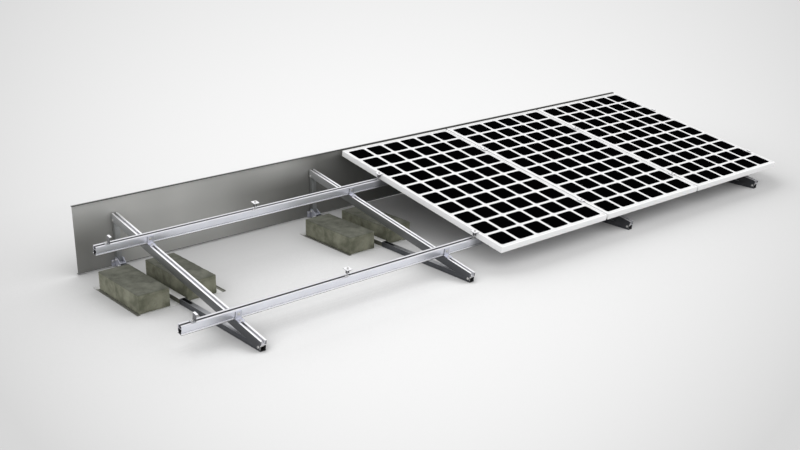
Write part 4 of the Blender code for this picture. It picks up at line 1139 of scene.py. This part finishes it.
# %% Trays
TRAY_SHEET, TRAY_LENGTH, TRAY_HALF, TRAY_LIP = 2 * MM, 555 * MM, 290 * MM, 6 * MM
tray_front = post_back - 249.5 * MM - TRAY_LENGTH
floor_z, tray_edge = TRAY_SHEET / 2, TRAY_HALF - TRAY_SHEET / 2
hat_half, hat_top = TUBE_HALF + 3 * MM, BASE_HEIGHT + SEAT + TRAY_SHEET / 2
tray_line = [(-tray_edge, TRAY_LIP), (-tray_edge, floor_z), (-hat_half, floor_z), (-hat_half, hat_top),
             (hat_half, hat_top), (hat_half, floor_z), (tray_edge, floor_z), (tray_edge, TRAY_LIP)]
tray = Piece().add(bar([bent_sheet(tray_line, TRAY_SHEET, 3 * MM)], tray_front,
                       tray_front + TRAY_LENGTH, "Y", 0), tray_coat)
tray_mesh = tray.mesh("ballast_tray")
for number, x in enumerate(TRIANGLES, start=1):
    stand_for(f"ballast_tray_{number}", tray_mesh, at(UPRIGHT, x))

# %% [markdown]
# ## Concrete blocks
# Cast blocks never have sharp edges: the mould rounds them and handling chips them. The block below
# starts as a fine grid on a box. Every point is pulled onto a rounded box whose radius wanders with
# noise, so the edges come out uneven, and then the faces get a slight waviness. A displacement
# modifier is quicker to add, but it can't keep the underside flat on the tray.

# %% Concrete blocks


def cast_block(seed):
    """A block of cast concrete with worn edges; the seed makes each one different."""
    build = bmesh.new()
    bmesh.ops.create_cube(build, size=1.0)
    bmesh.ops.scale(build, vec=BLOCK, verts=build.verts)
    for axis in range(3):
        edges = [edge for edge in build.edges
                 if abs((edge.verts[0].co - edge.verts[1].co)[axis]) > 1 * MM]
        cuts = round(BLOCK[axis] / (4.5 * MM))
        bmesh.ops.subdivide_edges(build, edges=edges, cuts=cuts, use_grid_fill=True)
    half = BLOCK / 2
    shift = Vector((seed * 7.3, seed * 3.1, seed * 5.7))
    for vertex in build.verts:
        spot = vertex.co + shift
        radius = 5 * MM + 2.6 * MM * noise.noise(spot * 28.0) + 1.4 * MM * noise.noise(spot * 90.0)
        core = Vector([max(-h + radius, min(h - radius, c)) for c, h in zip(vertex.co, half)])
        away = vertex.co - core
        if away.length > 0.0:
            vertex.co = core + away.normalized() * min(away.length, radius)
        dent = 0.35 * MM * (noise.noise(spot * 35.0) + 0.5 * noise.noise(spot * 120.0)) - 0.5 * MM
        if vertex.co.z > -half.z + 4 * MM:
            vertex.co += away.normalized() * dent if away.length > 0.0 else Vector()
    bmesh.ops.translate(build, vec=(0.0, 0.0, half.z), verts=build.verts)
    return Piece().add(shape_of(build), concrete)


block_y = tray_front + 9.5 * MM + BLOCK.y / 2
block_places = {"left": -TRAY_HALF + 18 * MM + BLOCK.x / 2,
                "right": hat_half + TRAY_SHEET / 2 + 15 * MM + BLOCK.x / 2}
for number, x in enumerate(TRIANGLES, start=1):
    for index, (side_name, offset) in enumerate(block_places.items()):
        mesh = cast_block(number * 2 + index).mesh(f"ballast_block_{number}_{side_name}", 60.0)
        stand_for(f"ballast_block_{number}_{side_name}", mesh,
                  at(UPRIGHT, x + offset, block_y, TRAY_SHEET + SEAT))

# %% [markdown]
# ## Wind sheet
# One folded sheet closes the back of the row, so wind can't lift it. It has a flange along its top
# and bottom and a narrow hem in front of each, which keeps five metres of thin sheet straight.

# %% Wind deflector
SHEET_HALF = ROW_LENGTH / 2 + 14 * MM
SHEET_BEND, HEM, ROOF_GAP = 2.5 * MM, 9 * MM, 7 * MM
sheet_top = PIVOT_HEIGHT + MODULE_END * math.sin(TILT) + MODULE_TOP * math.cos(TILT)
middle, low, high = DEFLECTOR_FACE + SHEET / 2, ROOF_GAP + SHEET / 2, sheet_top - SHEET / 2
wall = bent_sheet([(DEFLECTOR_BACK, low), (middle, low), (middle, high), (DEFLECTOR_BACK, high)],
                  SHEET, SHEET_BEND)
deflector = Piece().add(bar([wall], -SHEET_HALF, SHEET_HALF, "X", 0), sheet_coat)
hem_front, hem_back = REAR_PLANE + SEAT, middle - 0.7 * MM
for start in (ROOF_GAP + SHEET_BEND, sheet_top - SHEET_BEND - HEM):
    hem = [(hem_front, start), (hem_back, start), (hem_back, start + HEM), (hem_front, start + HEM)]
    deflector.add(bar([hem], -SHEET_HALF, SHEET_HALF, "X", 0.6 * MM), sheet_coat)
stand_for("wind_deflector", deflector.mesh("wind_deflector"), UPRIGHT)

# %% [markdown]
# ## Floor
# The mount stands on seamless pale paper with no horizon. A pool of light is painted on it, palest
# round the row and a little dimmer towards the far corners, with painted contact shade and painted
# bounce light under the row. A wide plane does it: its colour falls off with the place on the floor.

# %% Pale floor
VIEW = (0.60967, 0.72373, -0.32360)
FLOOR_TURN = math.atan2(-VIEW[0], VIEW[1])
FLOOR_SIZE = 140.0
ROOM, CLOSE = 1.5, 0.35


def fall_off(finish):
    """How dim the painted light is, from 0 round the row to 1 far out, in the floor's own metres."""
    deep = finish.ramp(finish.axis(1), -6.2, 52.2, 1.94, 57.2)
    across = (finish.axis(0) + 0.48) * 2.778 / deep
    ahead = finish.axis(1) * 1.6 / deep
    return finish.ramp(across * across * (0.21 - ahead * 0.045) + ahead * ahead * 0.09, 0.0, 0.3)


def bounce(finish):
    """Painted bounce light under the front of the row: strong at the modules, weak beside them."""
    along_row = finish.axis(0) * math.cos(FLOOR_TURN) - finish.axis(1) * math.sin(FLOOR_TURN)
    to_back = finish.axis(0) * math.sin(FLOOR_TURN) + finish.axis(1) * math.cos(FLOOR_TURN)
    near = finish.openness(CLOSE)
    bare = finish.ramp(along_row, -0.55, -0.75)
    lift = finish.ramp(near, 0.40, 0.85, 0.50, 0.0) * (1.0 - bare)
    lift = lift + finish.ramp(near, 0.86, 0.97, 0.24, 0.0) * finish.ramp(near, 0.66, 0.84) * bare
    return 1.0 + lift * finish.ramp(to_back, -0.25, -0.45)


def pale_ground():
    """Matt paper with a painted pool of light, painted contact shade and painted bounce light."""
    finish = Finish("pale_ground", Metallic=0.0, Specular_IOR_Level=0.0, Roughness=1.0)
    # A painted pool of light: the paper dims away from the row.
    lit_paper = finish.tones(fall_off(finish), (0.977, 0.977, 0.977), (0.684, 0.684, 0.684))
    # Painted contact shade where the floor is hemmed in, and painted bounce light under the row.
    contact = finish.ramp(finish.openness(ROOM), 0.75, 1.0, 0.75, 1.0)
    shade = contact * bounce(finish) * 0.70
    finish.feed(Base_Color=finish.over(shade, (0.0, 0.0, 0.0, 1.0), lit_paper))
    return finish.material


def flat_plane(name, size, material):
    """A square sheet that lies flat round the origin."""
    half = size / 2
    mesh = bpy.data.meshes.new(name)
    corners = [(-half, -half, 0.0), (half, -half, 0.0), (half, half, 0.0), (-half, half, 0.0)]
    mesh.from_pydata(corners, [], [(0, 1, 2, 3)])
    mesh.materials.append(material)
    item = bpy.data.objects.new(name, mesh)
    bpy.context.scene.collection.objects.link(item)
    return item


floor = flat_plane("studio_floor", FLOOR_SIZE, pale_ground())
floor.location.z = -0.2 * MM
floor.rotation_euler.z = FLOOR_TURN
print("floor finish has", len(floor.data.materials[0].node_tree.nodes), "nodes")

# %% [markdown]
# ## Light
# The picture is lit by one broad panel high above and by white air all round, so shadows are faint
# and soft. A hard lamp would draw black lines along every rail.

# %% Light
SKY_PLACE, SKY_AIM, SKY_SIZE, SKY_POWER = (0.3, -0.6, 6.5), (0.2, 0.0, 0.0), (7.0, 5.0), 20.0
AIR_STRENGTH = 1.4


def soft_light(name, place, aim, size, power):
    """A rectangular panel of light that faces a point."""
    lamp = bpy.data.lights.new(name, "AREA")
    lamp.shape, lamp.size, lamp.size_y, lamp.energy = "RECTANGLE", size[0], size[1], power
    item = bpy.data.objects.new(name, lamp)
    item.location = place
    item.rotation_euler = (Vector(aim) - Vector(place)).to_track_quat("-Z", "Y").to_euler()
    bpy.context.scene.collection.objects.link(item)
    return item


panel = soft_light("sky_panel", SKY_PLACE, SKY_AIM, SKY_SIZE, SKY_POWER)
world = bpy.data.worlds.new("studio_air")
world.use_nodes = True
air = world.node_tree.nodes["Background"]
air.inputs["Color"].default_value = (1.0, 1.0, 1.0, 1.0)
air.inputs["Strength"].default_value = AIR_STRENGTH
bpy.context.scene.world = world
bpy.context.scene.view_settings.view_transform = "Standard"
print("panel of", panel.data.energy, "W in air of strength", AIR_STRENGTH)

# %% [markdown]
# ## Camera
# The camera stands where the picture's own camera stood. Its place and direction were worked out
# from the modules, whose size is known, and its lens is a plain 50 mm on a full frame.

# %% Camera
CAMERA_PLACE, CAMERA_ROLL = (-5.12668, -5.34459, 2.51117), -0.0009
lens = bpy.data.cameras.new("studio_camera")
lens.lens, lens.sensor_width = 50.0, 36.0
camera = bpy.data.objects.new("studio_camera", lens)
camera.location = CAMERA_PLACE
camera.rotation_euler = Vector(VIEW).to_track_quat("-Z", "Y").to_euler()
camera.rotation_euler.rotate_axis("Z", CAMERA_ROLL)
bpy.context.scene.collection.objects.link(camera)
bpy.context.scene.camera = camera
print("camera at", CAMERA_PLACE, "looking along", VIEW)
